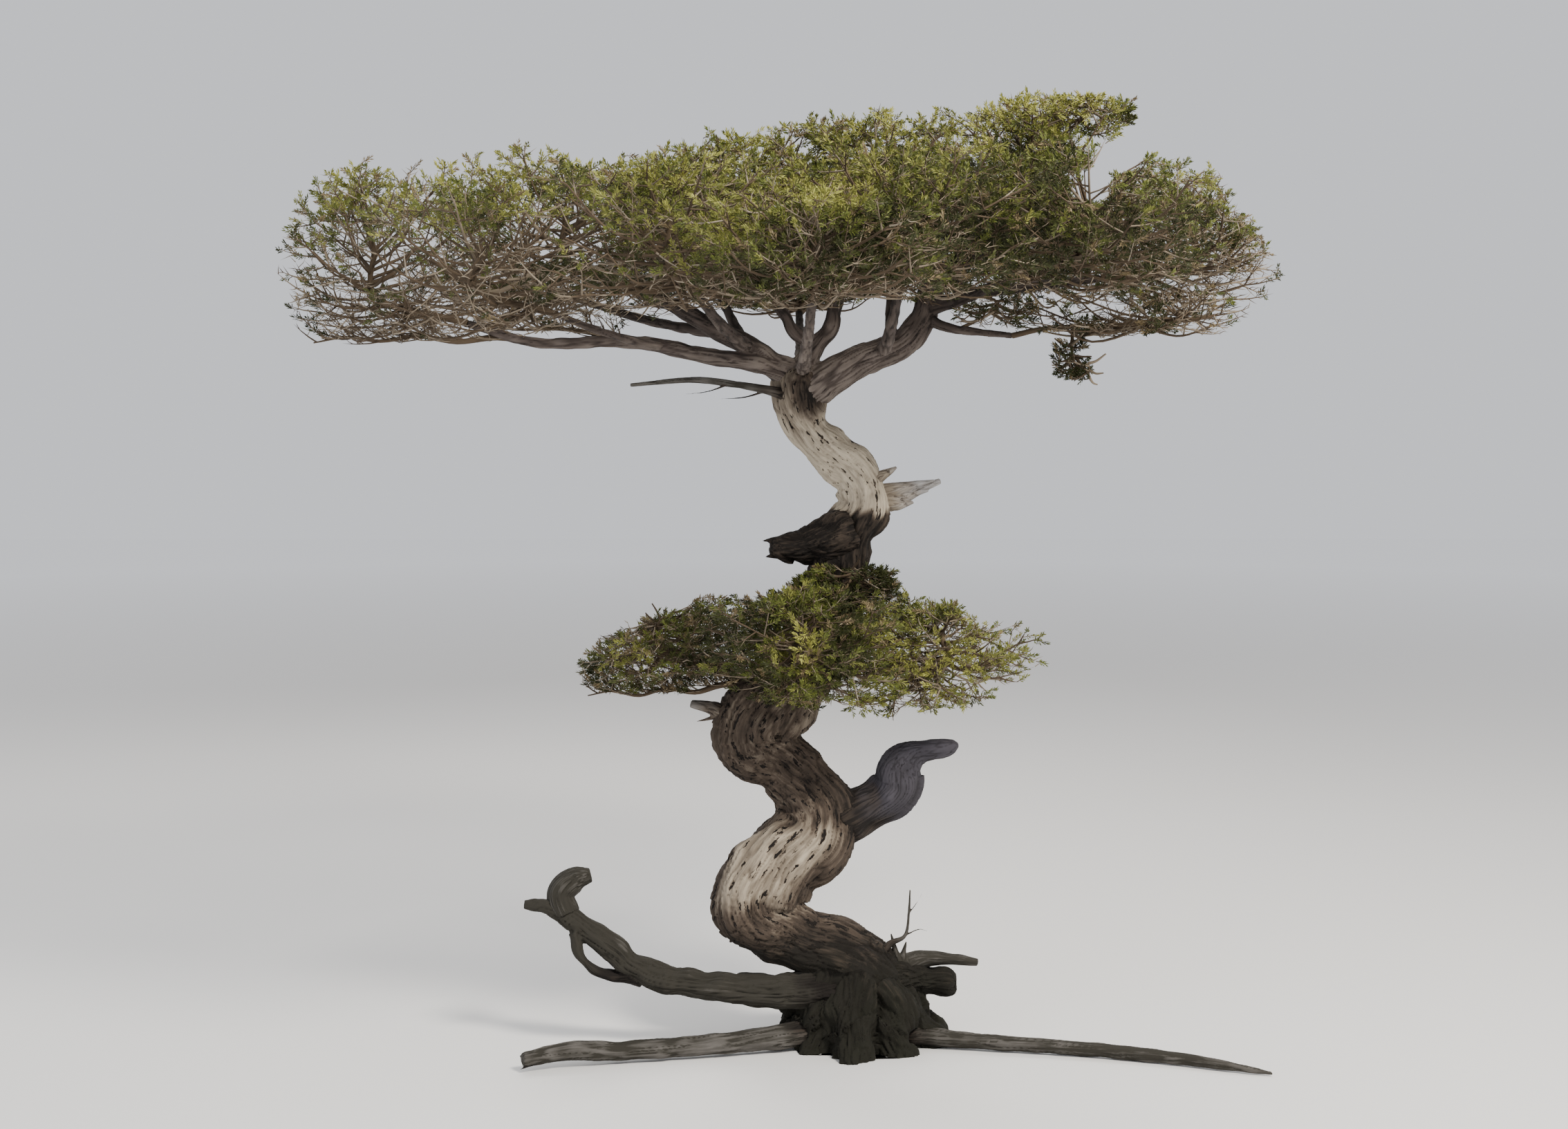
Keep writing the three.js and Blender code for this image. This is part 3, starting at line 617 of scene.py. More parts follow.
def addNode(tree, kind, plugs, **settings):
    # each plug gives an input its plain value, or the output of another node
    node = tree.nodes.new(kind)
    for key, value in settings.items():
        setattr(node, key, value)
    for key, value in plugs.items():
        if isinstance(value, bpy.types.NodeSocket):
            tree.links.new(value, node.inputs[key])
        else:
            node.inputs[key].default_value = value
    return node.outputs


def combine(tree, kind, *values):
    return addNode(tree, "ShaderNodeMath", dict(enumerate(values)), operation=kind)[0]


def blend(tree, amount, a, b):
    # inputs 0, 6 and 7 of a colour Mix are its factor and its two colours, and output 2 the result
    return addNode(tree, "ShaderNodeMix", {0: amount, 6: a, 7: b}, data_type="RGBA")[2]


def between(tree, value, low, high):
    # 0 at low and 1 at high
    plugs = {"Value": value, "From Min": low, "From Max": high}
    return addNode(tree, "ShaderNodeMapRange", plugs)["Result"]


def colourBand(tree, value, rows):
    ramp = tree.nodes.new("ShaderNodeValToRGB")
    band = ramp.color_ramp
    while len(band.elements) < len(rows):
        band.elements.new(0.5)
    for element, (place, colour) in zip(band.elements, rows):
        element.position = place
        element.color = (*colour, 1)
    tree.links.new(value, ramp.inputs["Fac"])
    return ramp.outputs["Color"]


def woodFinish(name, colours, fibre, crack, hollow, darkFoot=None, base=None):
    # colours run from dark to pale with the tone; fibres and cracks follow the grain, hollow is how
    # dark the furrows are, a near-black colour lies in patches low down, and base colours a limb's
    # foot like its carrier
    finish, tree, shader = newFinish(name, 0.9)

    def layerOf(key):
        return addNode(tree, "ShaderNodeAttribute", {}, attribute_name=key)

    grain = layerOf("grain")["Vector"]

    def grainNoise(stretch, scale, detail):
        along = addNode(tree, "ShaderNodeMapping", {"Vector": grain, "Scale": (1, 1, stretch)})
        plugs = {"Vector": along["Vector"], "Scale": scale, "Detail": detail, "Roughness": 0.62}
        return addNode(tree, "ShaderNodeTexNoise", plugs)["Fac"]

    fibres = grainNoise(fibre["stretch"], fibre["scale"], 7)
    patches = grainNoise(0.6, 9, 3)
    cracks = grainNoise(crack["stretch"], crack["scale"], 3)
    split = between(tree, cracks, crack["edge"], crack["edge"] + 0.05)
    value = combine(tree, "MULTIPLY_ADD", fibres, fibre["contrast"], layerOf("tone")["Fac"])
    value = combine(tree, "MULTIPLY_ADD", patches, 0.5, value)
    value = combine(tree, "MULTIPLY_ADD", layerOf("furrow")["Fac"], -hollow, value)
    value = combine(tree, "MULTIPLY_ADD", split, -crack["depth"], value)
    value = combine(tree, "SUBTRACT", value, 0.5 * fibre["contrast"] + 0.25)
    colour = colourBand(tree, value, colours)
    if base:
        colour = blend(tree, layerOf("own")["Fac"], colourBand(tree, value, base), colour)
    # a near-black colour in patches, darker towards the foot: full below 0.16 m, gone above 0.5 m
    if darkFoot:
        where = addNode(tree, "ShaderNodeTexCoord", {})["Object"]
        height = addNode(tree, "ShaderNodeSeparateXYZ", {"Vector": where})["Z"]
        amount = combine(tree, "MULTIPLY", between(tree, height, 0.5, 0.16), patches)
        colour = blend(tree, amount, colour, (*darkFoot, 1))
    tree.links.new(colour, shader.inputs["Base Color"])
    relief = combine(tree, "MULTIPLY_ADD", split, -0.8, fibres)
    plugs = {"Height": relief, "Strength": 0.8, "Distance": fibre["bump"]}
    bump = addNode(tree, "ShaderNodeBump", plugs)["Normal"]
    tree.links.new(bump, shader.inputs["Normal"])
    return finish


barkColours = [
    (0.0, (0.01, 0.0075, 0.006)), (0.3, (0.068, 0.05, 0.037)), (0.6, (0.21, 0.172, 0.13)),
    (1.0, (0.56, 0.48, 0.365)),
]
barkFinish = woodFinish(
    "juniper_bark", barkColours,
    fibre=dict(stretch=0.13, scale=80, contrast=0.7, bump=0.006),
    crack=dict(stretch=0.34, scale=50, depth=0.7, edge=0.598),
    hollow=0.14,
    darkFoot=(0.012, 0.013, 0.007),
)
boughFinish = woodFinish(
    "bough_bark",
    [(0.0, (0.02, 0.015, 0.013)), (0.35, (0.075, 0.058, 0.05)), (0.7, (0.21, 0.175, 0.15)),
     (1.0, (0.42, 0.37, 0.32))],
    fibre=dict(stretch=0.1, scale=95, contrast=0.5, bump=0.004),
    crack=dict(stretch=0.15, scale=55, depth=0.3, edge=0.62),
    hollow=0.3,
)
silverFinish = woodFinish(
    "silver_wood",
    [(0.0, (0.03, 0.027, 0.021)), (0.35, (0.165, 0.152, 0.14)), (0.7, (0.36, 0.345, 0.335)),
     (1.0, (0.52, 0.5, 0.475))],
    fibre=dict(stretch=0.05, scale=90, contrast=0.5, bump=0.004),
    crack=dict(stretch=0.05, scale=60, depth=0.3, edge=0.63),
    hollow=0.2,
    base=barkColours,
)
slateFinish = woodFinish(
    "slate_wood",
    [(0.0, (0.018, 0.016, 0.018)), (0.35, (0.058, 0.053, 0.063)), (0.7, (0.11, 0.106, 0.124)),
     (1.0, (0.2, 0.198, 0.216))],
    fibre=dict(stretch=0.07, scale=60, contrast=0.3, bump=0.002),
    crack=dict(stretch=0.06, scale=40, depth=0.25, edge=0.66),
    hollow=0.2,
    base=barkColours,
)


# Height and tone: dark root crown, a pale worn stretch, brown above it, a painted shadow that is
# nearly black under the knee, and the pale neck above its edge
trunkTones = [
    (0, -0.1), (330, -0.04), (480, 0.18), (560, 0.27), (640, 0.66), (900, 0.68), (950, 0.32),
    (1050, 0.24), (1400, 0.34), (1560, 0.2), (1900, 0.1), (2205, 0.08), (2235, 0.78), (2330, 0.92),
    (2560, 0.88), (2650, 0.6), (2750, 0.54), (2850, 0.48),
]
boughTones = [(2750, 0.56), (2900, 0.46), (3010, 0.26), (3150, 0.12)]
crotchShade = [  # place, reach, fullness and amount of painted shade: in the crotch where the thumb-like limb leaves, and in the fork
    ((-10, 0, 1010), 190, 1, 0.4),
    ((-175, -110, 2710), 100, 1.3, 0.5),
]


def toneAt(heights, rows):
    return np.interp(heights, *np.transpose(rows))


def trunkTone(places, grain):
    across, beside, _ = grain.T
    teeth = 44 * noiseAt(grain, (1 / 24, 1 / 24, 1 / 400))  # the parts meet in teeth along the grain
    value = toneAt(places[:, 2] + 12 * np.sin(places[:, 0] / 60) + teeth, trunkTones)
    edge = np.clip((121 - np.abs(across)) / 46, 0, 1)  # painted shade: the worn stretch darkens towards its sides
    edge = np.maximum(edge, 0.85 * np.clip((beside - 66) / 55, 0, 1))  # and more on its right, the side turned from the light
    # the painted shade falls only on the pale part of the stretch, below 1100 mm
    value = value - 0.5 * edge * np.clip((value - 0.4) / 0.3, 0, 1) * (places[:, 2] < 1100)
    # painted shade darkens the trunk in these crotches
    for spot, reach, fullness, amount in crotchShade:
        gap = np.linalg.norm(places - spot, axis=1)
        value = value - amount * np.clip(fullness - gap / reach, 0, 1)
    return value


def limbTone(value, foot, leave):
    # one tone all along, and another where the limb leaves what carries it
    return lambda places, grain: mix(foot, value, np.clip((grain[:, 2] - leave) / 150, 0, 1))


trunk = dict(voxel=7.8, melt=5, spiral=0.9, furrowWidth=25, furrowLength=130, furrowEdge=0.1,
             furrow=9, fibre=6, lump=34, lumpSize=105, fullRadius=130, footRelief=0.9)
buttress = dict(count=9, reach=330, radius=104, height=240,
                shape=[(0.1, 1.2, 0.9), (0.42, 0.66, 1), (0.75, 0.24, 0.86), (1.1, -0.2, 0.7)])

sweeps = [sweepLimb(trunkBends, 14, 32, flute=0.07)]
for turn in range(buttress["count"]):
    bearing = 2 * math.pi * turn / buttress["count"] + 0.4
    reach = buttress["reach"] * (0.86 if turn % 2 else 1)
    toe = np.array([
        (20 + reach * out * math.cos(bearing), reach * out * math.sin(bearing),
         buttress["height"] * rise, buttress["radius"] * thick)
        for out, rise, thick in buttress["shape"]
    ])
    sweeps.append(sweepLimb(toe, 14, 14))
knuckles = [  # x, y, z and radius at the two ends of each knuckle of the root crown
    [(-30, -30, 300, 120), (-210, -120, 60, 105)],
    [(20, -60, 250, 130), (-60, -235, 30, 95)],
    [(60, -40, 240, 130), (180, -170, 40, 95)],
    [(60, 20, 220, 130), (265, 70, 40, 85)],
    [(0, 60, 220, 130), (20, 240, 30, 95)],
    [(-40, 40, 260, 120), (-230, 110, 40, 95)],
    [(-40, -40, 300, 90), (-300, -60, 120, 70)],
    [(90, -30, 330, 60), (70, -40, 392, 34)],
]
for ends in knuckles:
    ends = np.array(ends, float)
    middle = mix(ends[0], ends[1], 0.5) + (0, 0, 22, 8)
    sweeps.append(sweepLimb(np.array([ends[0], middle, ends[1]]), 14, 14))
growWood("trunk_bark", sweeps, trunk, barkFinish, ["trunk"], trunkTone)

boughs = dict(voxel=7, melt=3, spiral=1.2, furrowWidth=17, furrowLength=170, furrowEdge=0.12,
              furrow=5, fibre=3, lump=9, lumpSize=60, fullRadius=55, footRelief=0)
names = [name for name in limbLines if name.startswith("bough_")]
growWood(
    "boughs_bark",
    [sweepLimb(limbLines[name], 10, 16, flute=0.05, collar=0.2) for name in names],
    boughs, boughFinish, names,
    lambda places, grain: toneAt(places[:, 2], boughTones),
)

# Dead limbs: how pale each is, and its foot where that differs, its relief and finish, how much it
# is thickened (swell) or flattened (squash), and whether it leaves the trunk or another dead limb
bareWood = dict(voxel=4.5, melt=4, spiral=0.7, furrowWidth=15, furrowLength=260, furrowEdge=0.1,
                furrow=5, fibre=2.5, lump=8, lumpSize=75, fullRadius=60, footRelief=0,
                finish=silverFinish, swell=0, squash=1, onTrunk=True)
deadLooks = {
    "dead_limb_right": dict(tone=0.28, footTone=0.02, voxel=5, finish=slateFinish, furrow=4,
                            fibre=2, lump=18),
    "dead_limb_left": dict(tone=-0.06, voxel=5.5, furrow=10, fibre=4, lump=20, swell=13),
    "dead_horn_left": dict(tone=0.04, swell=15, onTrunk=False),
    "root_stub_right": dict(tone=-0.04, finish=barkFinish, furrow=9, lump=20),
    "root_spike_right": dict(tone=0.02, swell=11, onTrunk=False),
    "dead_twig_right": dict(tone=0.1, voxel=3),
    "neck_stub_left": dict(tone=0.06, voxel=6, finish=barkFinish, furrow=8, lump=24),
    "knee_stub_right": dict(tone=0.66, voxel=3.5, squash=0.8, swell=7),
    "shoulder_stub_left": dict(tone=0.4),
    "dead_branch_left": dict(tone=0.14, voxel=3.5, swell=4),
    "surface_root_right": dict(tone=0.08, voxel=6.5),
    "surface_root_left": dict(tone=0.12, voxel=6.5),
}
# Strands and thin splinters that stand out of a limb or its broken end, drawn like the limbs
splinters = {
    "dead_limb_left": [
        [(-880, -140, 298, 44), (-1040, -155, 310, 38), (-1134, -162, 382, 34),
         (-1170, -150, 486, 42)],
        [(-1250, -130, 590, 22), (-1310, -132, 588, 12), (-1372, -134, 594, 4)],
    ],
    "root_stub_right": [
        [(300, 30, 250, 22), (380, 40, 262, 14), (426, 46, 262, 5)],
        [(300, 30, 215, 26), (380, 40, 200, 16), (424, 44, 188, 6)],
    ],
    "root_spike_right": [
        [(170, 10, 300, 34), (110, 0, 372, 22), (60, -6, 436, 6)],
        [(190, 12, 300, 32), (168, 6, 376, 22), (150, 2, 446, 6)],
        [(200, 16, 300, 30), (204, 10, 360, 20), (214, 6, 410, 6)],
    ],
    "dead_twig_right": [
        [(206, -35, 445, 5), (262, -30, 470, 4), (302, -26, 462, 3)],
        [(222, -38, 540, 4), (258, -42, 590, 3), (276, -44, 626, 2.5)],
    ],
    "neck_stub_left": [
        [(-250, -95, 2110, 44), (-330, -110, 2112, 24), (-392, -122, 2104, 5)],
        [(-250, -95, 2060, 44), (-330, -120, 2048, 26), (-378, -128, 2040, 5)],
    ],
    "knee_stub_right": [
        [(50, -30, 2258, 64), (150, -22, 2250, 48), (236, 0, 2258, 12)],
        [(50, -30, 2290, 64), (180, -6, 2318, 42), (326, 20, 2350, 8)],
        [(70, 0, 2270, 60), (190, 16, 2288, 42), (300, 30, 2306, 10)],
        [(40, -40, 2330, 62), (104, -34, 2368, 40), (166, -20, 2404, 10)],
    ],
    "shoulder_stub_left": [[(-560, 20, 1370, 22), (-620, 30, 1350, 12), (-668, 34, 1338, 4)]],
    "dead_branch_left": [
        [(-366, -70, 2722, 9), (-460, -60, 2694, 6), (-560, -56, 2686, 3)],
        [(-520, -110, 2748, 8), (-610, -150, 2716, 5), (-700, -176, 2704, 3)],
    ],
    "surface_root_left": [
        [(-1250, -450, 60, 20), (-1320, -470, 62, 13), (-1362, -476, 60, 4)],
        [(-1250, -460, 44, 20), (-1310, -500, 30, 13), (-1352, -528, 18, 4)],
    ],
}
for name, look in deadLooks.items():
    look = dict(bareWood, **look)
    line = limbLines[name] + (0, 0, 0, look["swell"])
    sweeps = [sweepLimb(line, 9, 16, flute=0.06, collar=0.12, squash=look["squash"])]
    for splinter in splinters.get(name, []):
        sweeps.append(sweepLimb(np.array(splinter, float), 7, 8, squash=0.6))
    joint = leavingRun(limbLines[name]) if look["onTrunk"] else None
    tone = limbTone(look["tone"], look.get("footTone", look["tone"]), joint or 0)
    growWood(name + "_wood", sweeps, look, look["finish"], [name], tone, joint)


# Foliage: plain base colours, dealt out by spray: one green with painted shade and sunlight, dark to
# bright, and a brown
leafShades = {
    "leaf_deepest_shade": (0.03, 0.034, 0.009),
    "leaf_shaded": (0.06, 0.068, 0.016),
    "leaf_half_shaded": (0.108, 0.124, 0.024),
    "leaf_half_lit": (0.172, 0.177, 0.04),
    "leaf_sunlit": (0.24, 0.242, 0.055),
    "leaf_sun_highlight": (0.32, 0.315, 0.075),
    "leaf_brown": (0.17, 0.128, 0.066),
}
twigShades = {
    "twig_brown": (0.085, 0.06, 0.038),
    "twig_grey": (0.2, 0.16, 0.115),
    "twig_pale": (0.32, 0.265, 0.2),
}


def plainFinishes(shades, roughness):
    made = []
    for name, colour in shades.items():
        finish, _, shader = newFinish(name, roughness)
        shader.inputs["Base Color"].default_value = (*colour, 1)
        made.append(finish)
    return made


leafFinishes = plainFinishes(leafShades, 0.6)
twigFinishes = plainFinishes(twigShades, 0.9)
print("finishes:", len(leafFinishes), "for leaves and", len(twigFinishes), "for twigs")

growth = dict(
    stemBare=0.4,  # the share of a stem below its first main twig
    twigRadii=(13, 9.5, 6),  # of a main twig at its foot, past its middle and at its end
    twigDroop=0.1,
    shortestTwig=80,
    leastRoom=40,  # where a space has less room than this, no twig grows
    solidSpray=325,  # the length of the solids' sprays, and how much of it their twigs leave free
    sprayRoom=0.72,
    branchlets=7,  # on each twig
    branchletLength=(225, 150),  # at the twig's foot and at its end
    twiglets=8,  # on each branchlet
    twigletLength=(70, 46),
    sag=0.18,  # how far branchlets hang, as a share of their length
    riseKept=0.62,  # the share of their rise that sprays keep, so that they lie nearly level
    shoots=19,  # leaf shoots on each twiglet
    shootLength=22,
    shootWidth=5.4,
    shootBelly=0.6,  # where along a shoot it is widest
)
leafing = dict(  # how likely a twiglet is to carry leaves
    plain=0.5, byHeight=0.34, byDepth=0.34, patchy=0.8, patchSize=210,
    thinUnder=0.55,  # the height in its mass under which "thin" counts
    underBare=0.35,  # what is left of it under the bare line
)
sunlight = dict(  # how bright a spray is
    plain=0.26, byHeight=0.17, byDepth=0.22, byCrown=0.42, patchy=0.5, patchSize=170, scatter=0.08,
    crownHeights=(2900, 3900),  # from its dark underside to its sunlit top
)


def stemOf(space):
    heart = heartOf(space)
    top = heart + up * 0.55 * space["half"][2]
    if "root" in space:
        girth = space["girth"]
        return np.array([[*space["root"], girth], [*heart, 0.7 * girth], [*top, 0.43 * girth]])
    places, radii, headings = samplesOf(limbLines["bough_" + space["name"]], 4)
    start = places[-1] + headings[-1] * 0.3
    tip = radii[-1]
    if "stem" in space:
        route = np.array([start, *space["stem"]], float)
        return np.column_stack([route, np.linspace(tip, 5, len(route))])
    lead = start + headings[-1] * 0.12 * np.linalg.norm(heart - start)
    return np.array([[*start, tip], [*lead, tip], [*heart, mix(tip, 12, 0.6)], [*top, 12]])


def twigsOf(space, stem, roll, count, thick, lowest, within, short):
    twigs = []
    turnOffset = roll() * math.pi
    for k in range(count):
        height = mix(lowest, 1, (k + 0.5) / count)
        level = math.sqrt(1 - height ** 2)
        bearing = turnOffset + k * goldenAngle + 0.5 * roll()
        leave = stationAt(stem, (len(stem) - 1) * mix(growth["stemBare"], 1, (k + 0.3) / count))[:3]
        aim = np.array([level * math.cos(bearing), level * math.sin(bearing), height])
        heading = unit(space["centre"] + space["half"] * aim - leave)
        room = reachIn(space, leave, heading, within) * mix(0.9, 1, roll())
        if room < growth["leastRoom"]:
            continue
        length = max(room - short, growth["shortestTwig"])
        middle = leave + heading * 0.55 * length - up * growth["twigDroop"] * length
        route = np.array([leave, middle, leave + heading * length])
        twigs.append(np.column_stack([route, np.array(growth["twigRadii"]) * thick]))
    return twigs


limbRows = [samplesOf(line, 6)[:2] for line in limbLines.values()]
limbPlaces = np.concatenate([row[0] for row in limbRows])
limbRadii = np.concatenate([row[1] for row in limbRows])


def clearOfLimbs(points, margin):
    near = np.linalg.norm(points[:, None] - limbPlaces[None], axis=2) - limbRadii
    return near.min(axis=1) > margin


def sideShoots(rng, starts, headings, turn, spread, lift):
    # headings that leave a carrier sideways, turned about it, and lie nearly level
    flat = unit(np.cross(headings, up))
    above = np.cross(flat, headings)
    out = np.cos(turn)[:, None] * flat + np.sin(turn)[:, None] * above
    aim = headings * (1 - spread) + out * spread + up * lift
    aim = unit(aim + 0.12 * rng.normal(size=aim.shape))
    aim[:, 2] *= growth["riseKept"]
    return unit(aim)


def tubes(paths, radii, sides):
    # thin tubes along many paths at once; those whose last radius is 0 end in a point
    heading = unit(np.gradient(paths, axis=1))
    normal = unit(np.cross(heading, unit(np.array([0.31, 0.87, 0.38]))))
    beside = np.cross(heading, normal)
    angles = np.arange(sides) * 2 * math.pi / sides
    reach = radii[:, :, None, None]
    ring = paths[:, :, None] + reach * (
        np.cos(angles)[:, None] * normal[:, :, None] + np.sin(angles)[:, None] * beside[:, :, None]
    )
    count, rows = paths.shape[:2]
    index = np.arange(count * rows * sides).reshape(count, rows, sides)
    here, there = index[:, :-1], index[:, 1:]
    faces = np.stack([here, np.roll(here, -1, 2), np.roll(there, -1, 2), there], axis=-1)
    return ring.reshape(-1, 3), faces.reshape(-1, 4), (rows - 1) * sides


def meshOf(name, points, faces, shades, finishes):
    mesh = bpy.data.meshes.new(name)
    mesh.vertices.add(len(points))
    mesh.vertices.foreach_set("co", (points * metre).astype(np.float32).ravel())
    mesh.loops.add(faces.size)
    mesh.loops.foreach_set("vertex_index", faces.astype(np.int32).ravel())
    mesh.polygons.add(len(faces))
    mesh.polygons.foreach_set("loop_start", np.arange(0, faces.size, 4, dtype=np.int32))
    mesh.polygons.foreach_set("material_index", shades.astype(np.int32))
    for finish in finishes:
        mesh.materials.append(finish)
    mesh.update(calc_edges=True)
    piece = bpy.data.objects.new(name, mesh)
    bpy.context.collection.objects.link(piece)
    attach(piece, "root")
    return piece


def branchletsOf(space, rng, twigs):
    # along each twig and ahead from its end, sized to what the space has room for
    count = growth["branchlets"]
    starts, heads, spans, turns = [], [], [], []
    for places, headings in twigs:
        shares = mix(0.28, 1, np.linspace(0, 1, count) ** 0.7) + 0.04 * rng.normal(size=count)
        rows = np.clip(np.round(shares * (len(places) - 1)), 0, len(places) - 1).astype(int)
        starts.append(places[rows])
        heads.append(headings[rows])
        reach = mix(*growth["branchletLength"], np.clip(shares, 0, 1))
        spans.append(reach * rng.uniform(0.75, 1.1, count))
        turns.append(rng.uniform(0, 2 * math.pi) + np.arange(count) * goldenAngle)
    starts, heads = np.concatenate(starts), np.concatenate(heads)
    spans, turns = np.concatenate(spans), np.concatenate(turns)
    ahead = np.tile(np.arange(count) == count - 1, len(twigs))
    spans = np.where(ahead, 1.4 * spans, spans)
    heads = sideShoots(rng, starts, heads, turns, np.where(ahead, 0.12, 0.62)[:, None], 0.14)
    # each is cut down to the largest of these shares that has room
    size = np.zeros(len(starts))
    for share in (0.3, 0.45, 0.6, 0.8, 1.0):
        fits = isNear(space, starts + heads * (spans * share)[:, None], 12)
        size = np.where(fits, share, size)
    middles = starts + heads * (spans * size * 0.6)[:, None]
    kept = (size > 0) & clearOfLimbs(middles, 8)
    kept &= rng.uniform(0, 1, len(starts)) > spotsAt(space["windows"], middles)
    return starts[kept], heads[kept], (spans * size)[kept]


def twigletsOf(space, rng, starts, heads, spans):
    count = growth["twiglets"]
    shares = np.tile(np.linspace(0.25, 1, count), (len(starts), 1))
    shares = np.clip(shares + 0.05 * rng.normal(size=shares.shape), 0.1, 1)
    shares[:, -1] = 1
    tips = starts[:, None] + heads[:, None] * (spans[:, None] * shares)[..., None]
    tips = tips + (shares * (1 - shares) * -growth["sag"] * spans[:, None])[..., None] * up
    along = np.repeat(heads[:, None], count, axis=1)
    turn = rng.uniform(0, 2 * math.pi, (len(starts), 1)) + np.arange(count) * goldenAngle
    spread = np.where(np.arange(count) == count - 1, 0.1, 0.55)[None, :, None]
    spread = np.broadcast_to(spread, (len(starts), count, 1)).reshape(-1, 1)
    tips, along = tips.reshape(-1, 3), along.reshape(-1, 3)
    along = sideShoots(rng, tips, along, turn.ravel(), spread, 0.12)
    reach = mix(*growth["twigletLength"], shares.ravel()) * rng.uniform(0.7, 1.15, len(tips))
    ends = tips + along * reach[:, None]
    kept = isNear(space, ends + along * 12, 4) & clearOfLimbs(ends, 6)
    kept &= rng.uniform(0, 1, len(ends)) > spotsAt(space["windows"], ends)
    return tips[kept], along[kept], reach[kept], ends[kept]


def carriersOf(rng, leaders, twigs):
    # places and headings along all that carries branchlets, and the twigs' own swayed lines
    lines, carriers = [], []
    for leader in leaders:
        places, _, headings = samplesOf(leader, 10)
        for i in range(0, len(places) - 5, 5):
            carriers.append((places[i:i + 5], headings[i:i + 5]))
    for twig in twigs:
        places, radii, headings = samplesOf(twig, 5)
        sway = np.sin(np.linspace(0, math.pi, len(places))) * 0.05
        sway = sway * np.linalg.norm(twig[-1] - twig[0])
        places = places + sway[:, None] * rng.normal(size=3)
        lines.append(np.column_stack([places, radii]))
        carriers.append((places, headings))
    return np.array(lines), carriers


def leavesOn(space, rng, ends, level, depth):
    # high and outer twiglets carry leaves, in patches, and few do under the bare line
    chance = leafing["plain"] + leafing["byHeight"] * level + leafing["byDepth"] * depth
    chance = space["leafy"] * chance
    chance = chance + leafing["patchy"] * noiseAt(ends, (1 / leafing["patchSize"],) * 3)
    chance = chance - space["thin"] * np.clip(leafing["thinUnder"] - level, 0, 1)
    bareLine = space["centre"][2] + space["half"][2] * (2 * space["bare"] - 1)
    chance = np.where(ends[:, 2] < bareLine, leafing["underBare"] * chance, chance)
    leafy = rng.uniform(0, 1, len(ends)) < chance
    barren = ~leafy & (rng.uniform(0, 1, len(ends)) < space["barren"])
    return leafy, barren


# Twigs of each order, as tubes and the numbers of their plain finishes
def stemParts(stem, leaders):
    parts = []
    for line, steps in [(stem, 4)] + [(leader, 5) for leader in leaders]:
        places, radii, _ = samplesOf(line, steps)
        parts.append((tubes(places[None], radii[None], 6), np.zeros(1, int)))
    return parts


def twigPart(rng, lines):
    tint = rng.choice(2, len(lines), p=(0.85, 0.15))
    return tubes(lines[:, :, :3], lines[:, :, 3], 4), tint


def branchletPart(space, rng, starts, heads, spans):
    steps = np.linspace(0, 1, 4)
    bow = (steps * (1 - steps))[None, :, None] * (-growth["sag"] * spans)[:, None, None] * up
    paths = starts[:, None] + heads[:, None] * (spans[:, None] * steps)[..., None] + bow
    weather = np.clip(1 - space["leafy"], 0, 1)  # thin masses have paler, greyer twigs
    shares = (0.6 - 0.25 * weather, 0.36 + 0.17 * weather, 0.04 + 0.08 * weather)
    tint = rng.choice(3, len(paths), p=shares)
    return tubes(paths, np.tile([4.2, 3.4, 2.4, 0], (len(paths), 1)), 3), tint


def twigletPart(rng, tips, ends, barren):
    paths = np.stack([tips, mix(tips, ends, 0.5), ends], axis=1)
    paths[:, 1] += rng.normal(size=(len(paths), 3)) * 3
    green = rng.choice(2, len(paths), p=(0.75, 0.25))
    grey = rng.choice(3, len(paths), p=(0.35, 0.48, 0.17))
    radii = np.tile([2.1, 1.6, 0], (len(paths), 1))
    return tubes(paths, radii, 3), np.where(barren, grey, green)


def shootsOn(rng, base, ahead, span):
    # leaf shoots round each leafy twiglet: narrow kites that fan out and forward
    count = growth["shoots"]
    flat = unit(np.cross(ahead, up))
    above = np.cross(flat, ahead)
    turn = rng.uniform(0, 2 * math.pi, (len(base), 1)) + np.arange(count) * goldenAngle
    place = np.linspace(0.2, 1.0, count)[None, :] * span[:, None]
    lean = np.linspace(0.95, 0.25, count)[None, :] + 0.14 * rng.normal(size=(len(base), count))
    outward = np.cos(turn)[..., None] * flat[:, None] + np.sin(turn)[..., None] * above[:, None]
    aim = ahead[:, None] * np.cos(lean)[..., None] + outward * np.sin(lean)[..., None]
    aim = unit(aim + 0.06 * up)
    length = growth["shootLength"] * rng.uniform(0.75, 1.2, (len(base), count, 1))
    roots = base[:, None] + ahead[:, None] * place[..., None]
    wide = unit(np.cross(aim, rng.normal(size=aim.shape))) * growth["shootWidth"] / 2
    belly = roots + aim * length * growth["shootBelly"]
    return np.stack([roots, belly + wide, roots + aim * length, belly - wide], axis=2)


def shadesOf(space, rng, ends, level, depth):
    # painted light and shade: how bright each spray is, by height, by depth in its mass, in patches
    # and at marked spots
    skirtTop = 2500
    high = np.interp(ends[:, 2], sunlight["crownHeights"], (0, 1))
    high = np.where(ends[:, 2] > skirtTop, high, 0.5)
    sun = sunlight["plain"] + sunlight["byHeight"] * level + sunlight["byDepth"] * (depth - 0.7)
    sun = sun + sunlight["byCrown"] * (high - 0.45)
    sun = sun + sunlight["patchy"] * noiseAt(ends + 500, (1 / sunlight["patchSize"],) * 3)
    sun = sun + space["sunny"] + spotsAt(space["lights"], ends)
    sun = sun + sunlight["scatter"] * rng.normal(size=len(ends))
    brown = len(leafShades) - 1  # the last shade, brown; the ones before it are one green with painted shade and light, dark to bright
    shade = np.clip((sun * brown).astype(int), 0, brown - 1)
    return np.where(rng.uniform(0, 1, len(ends)) < space["brown"], brown, shade)


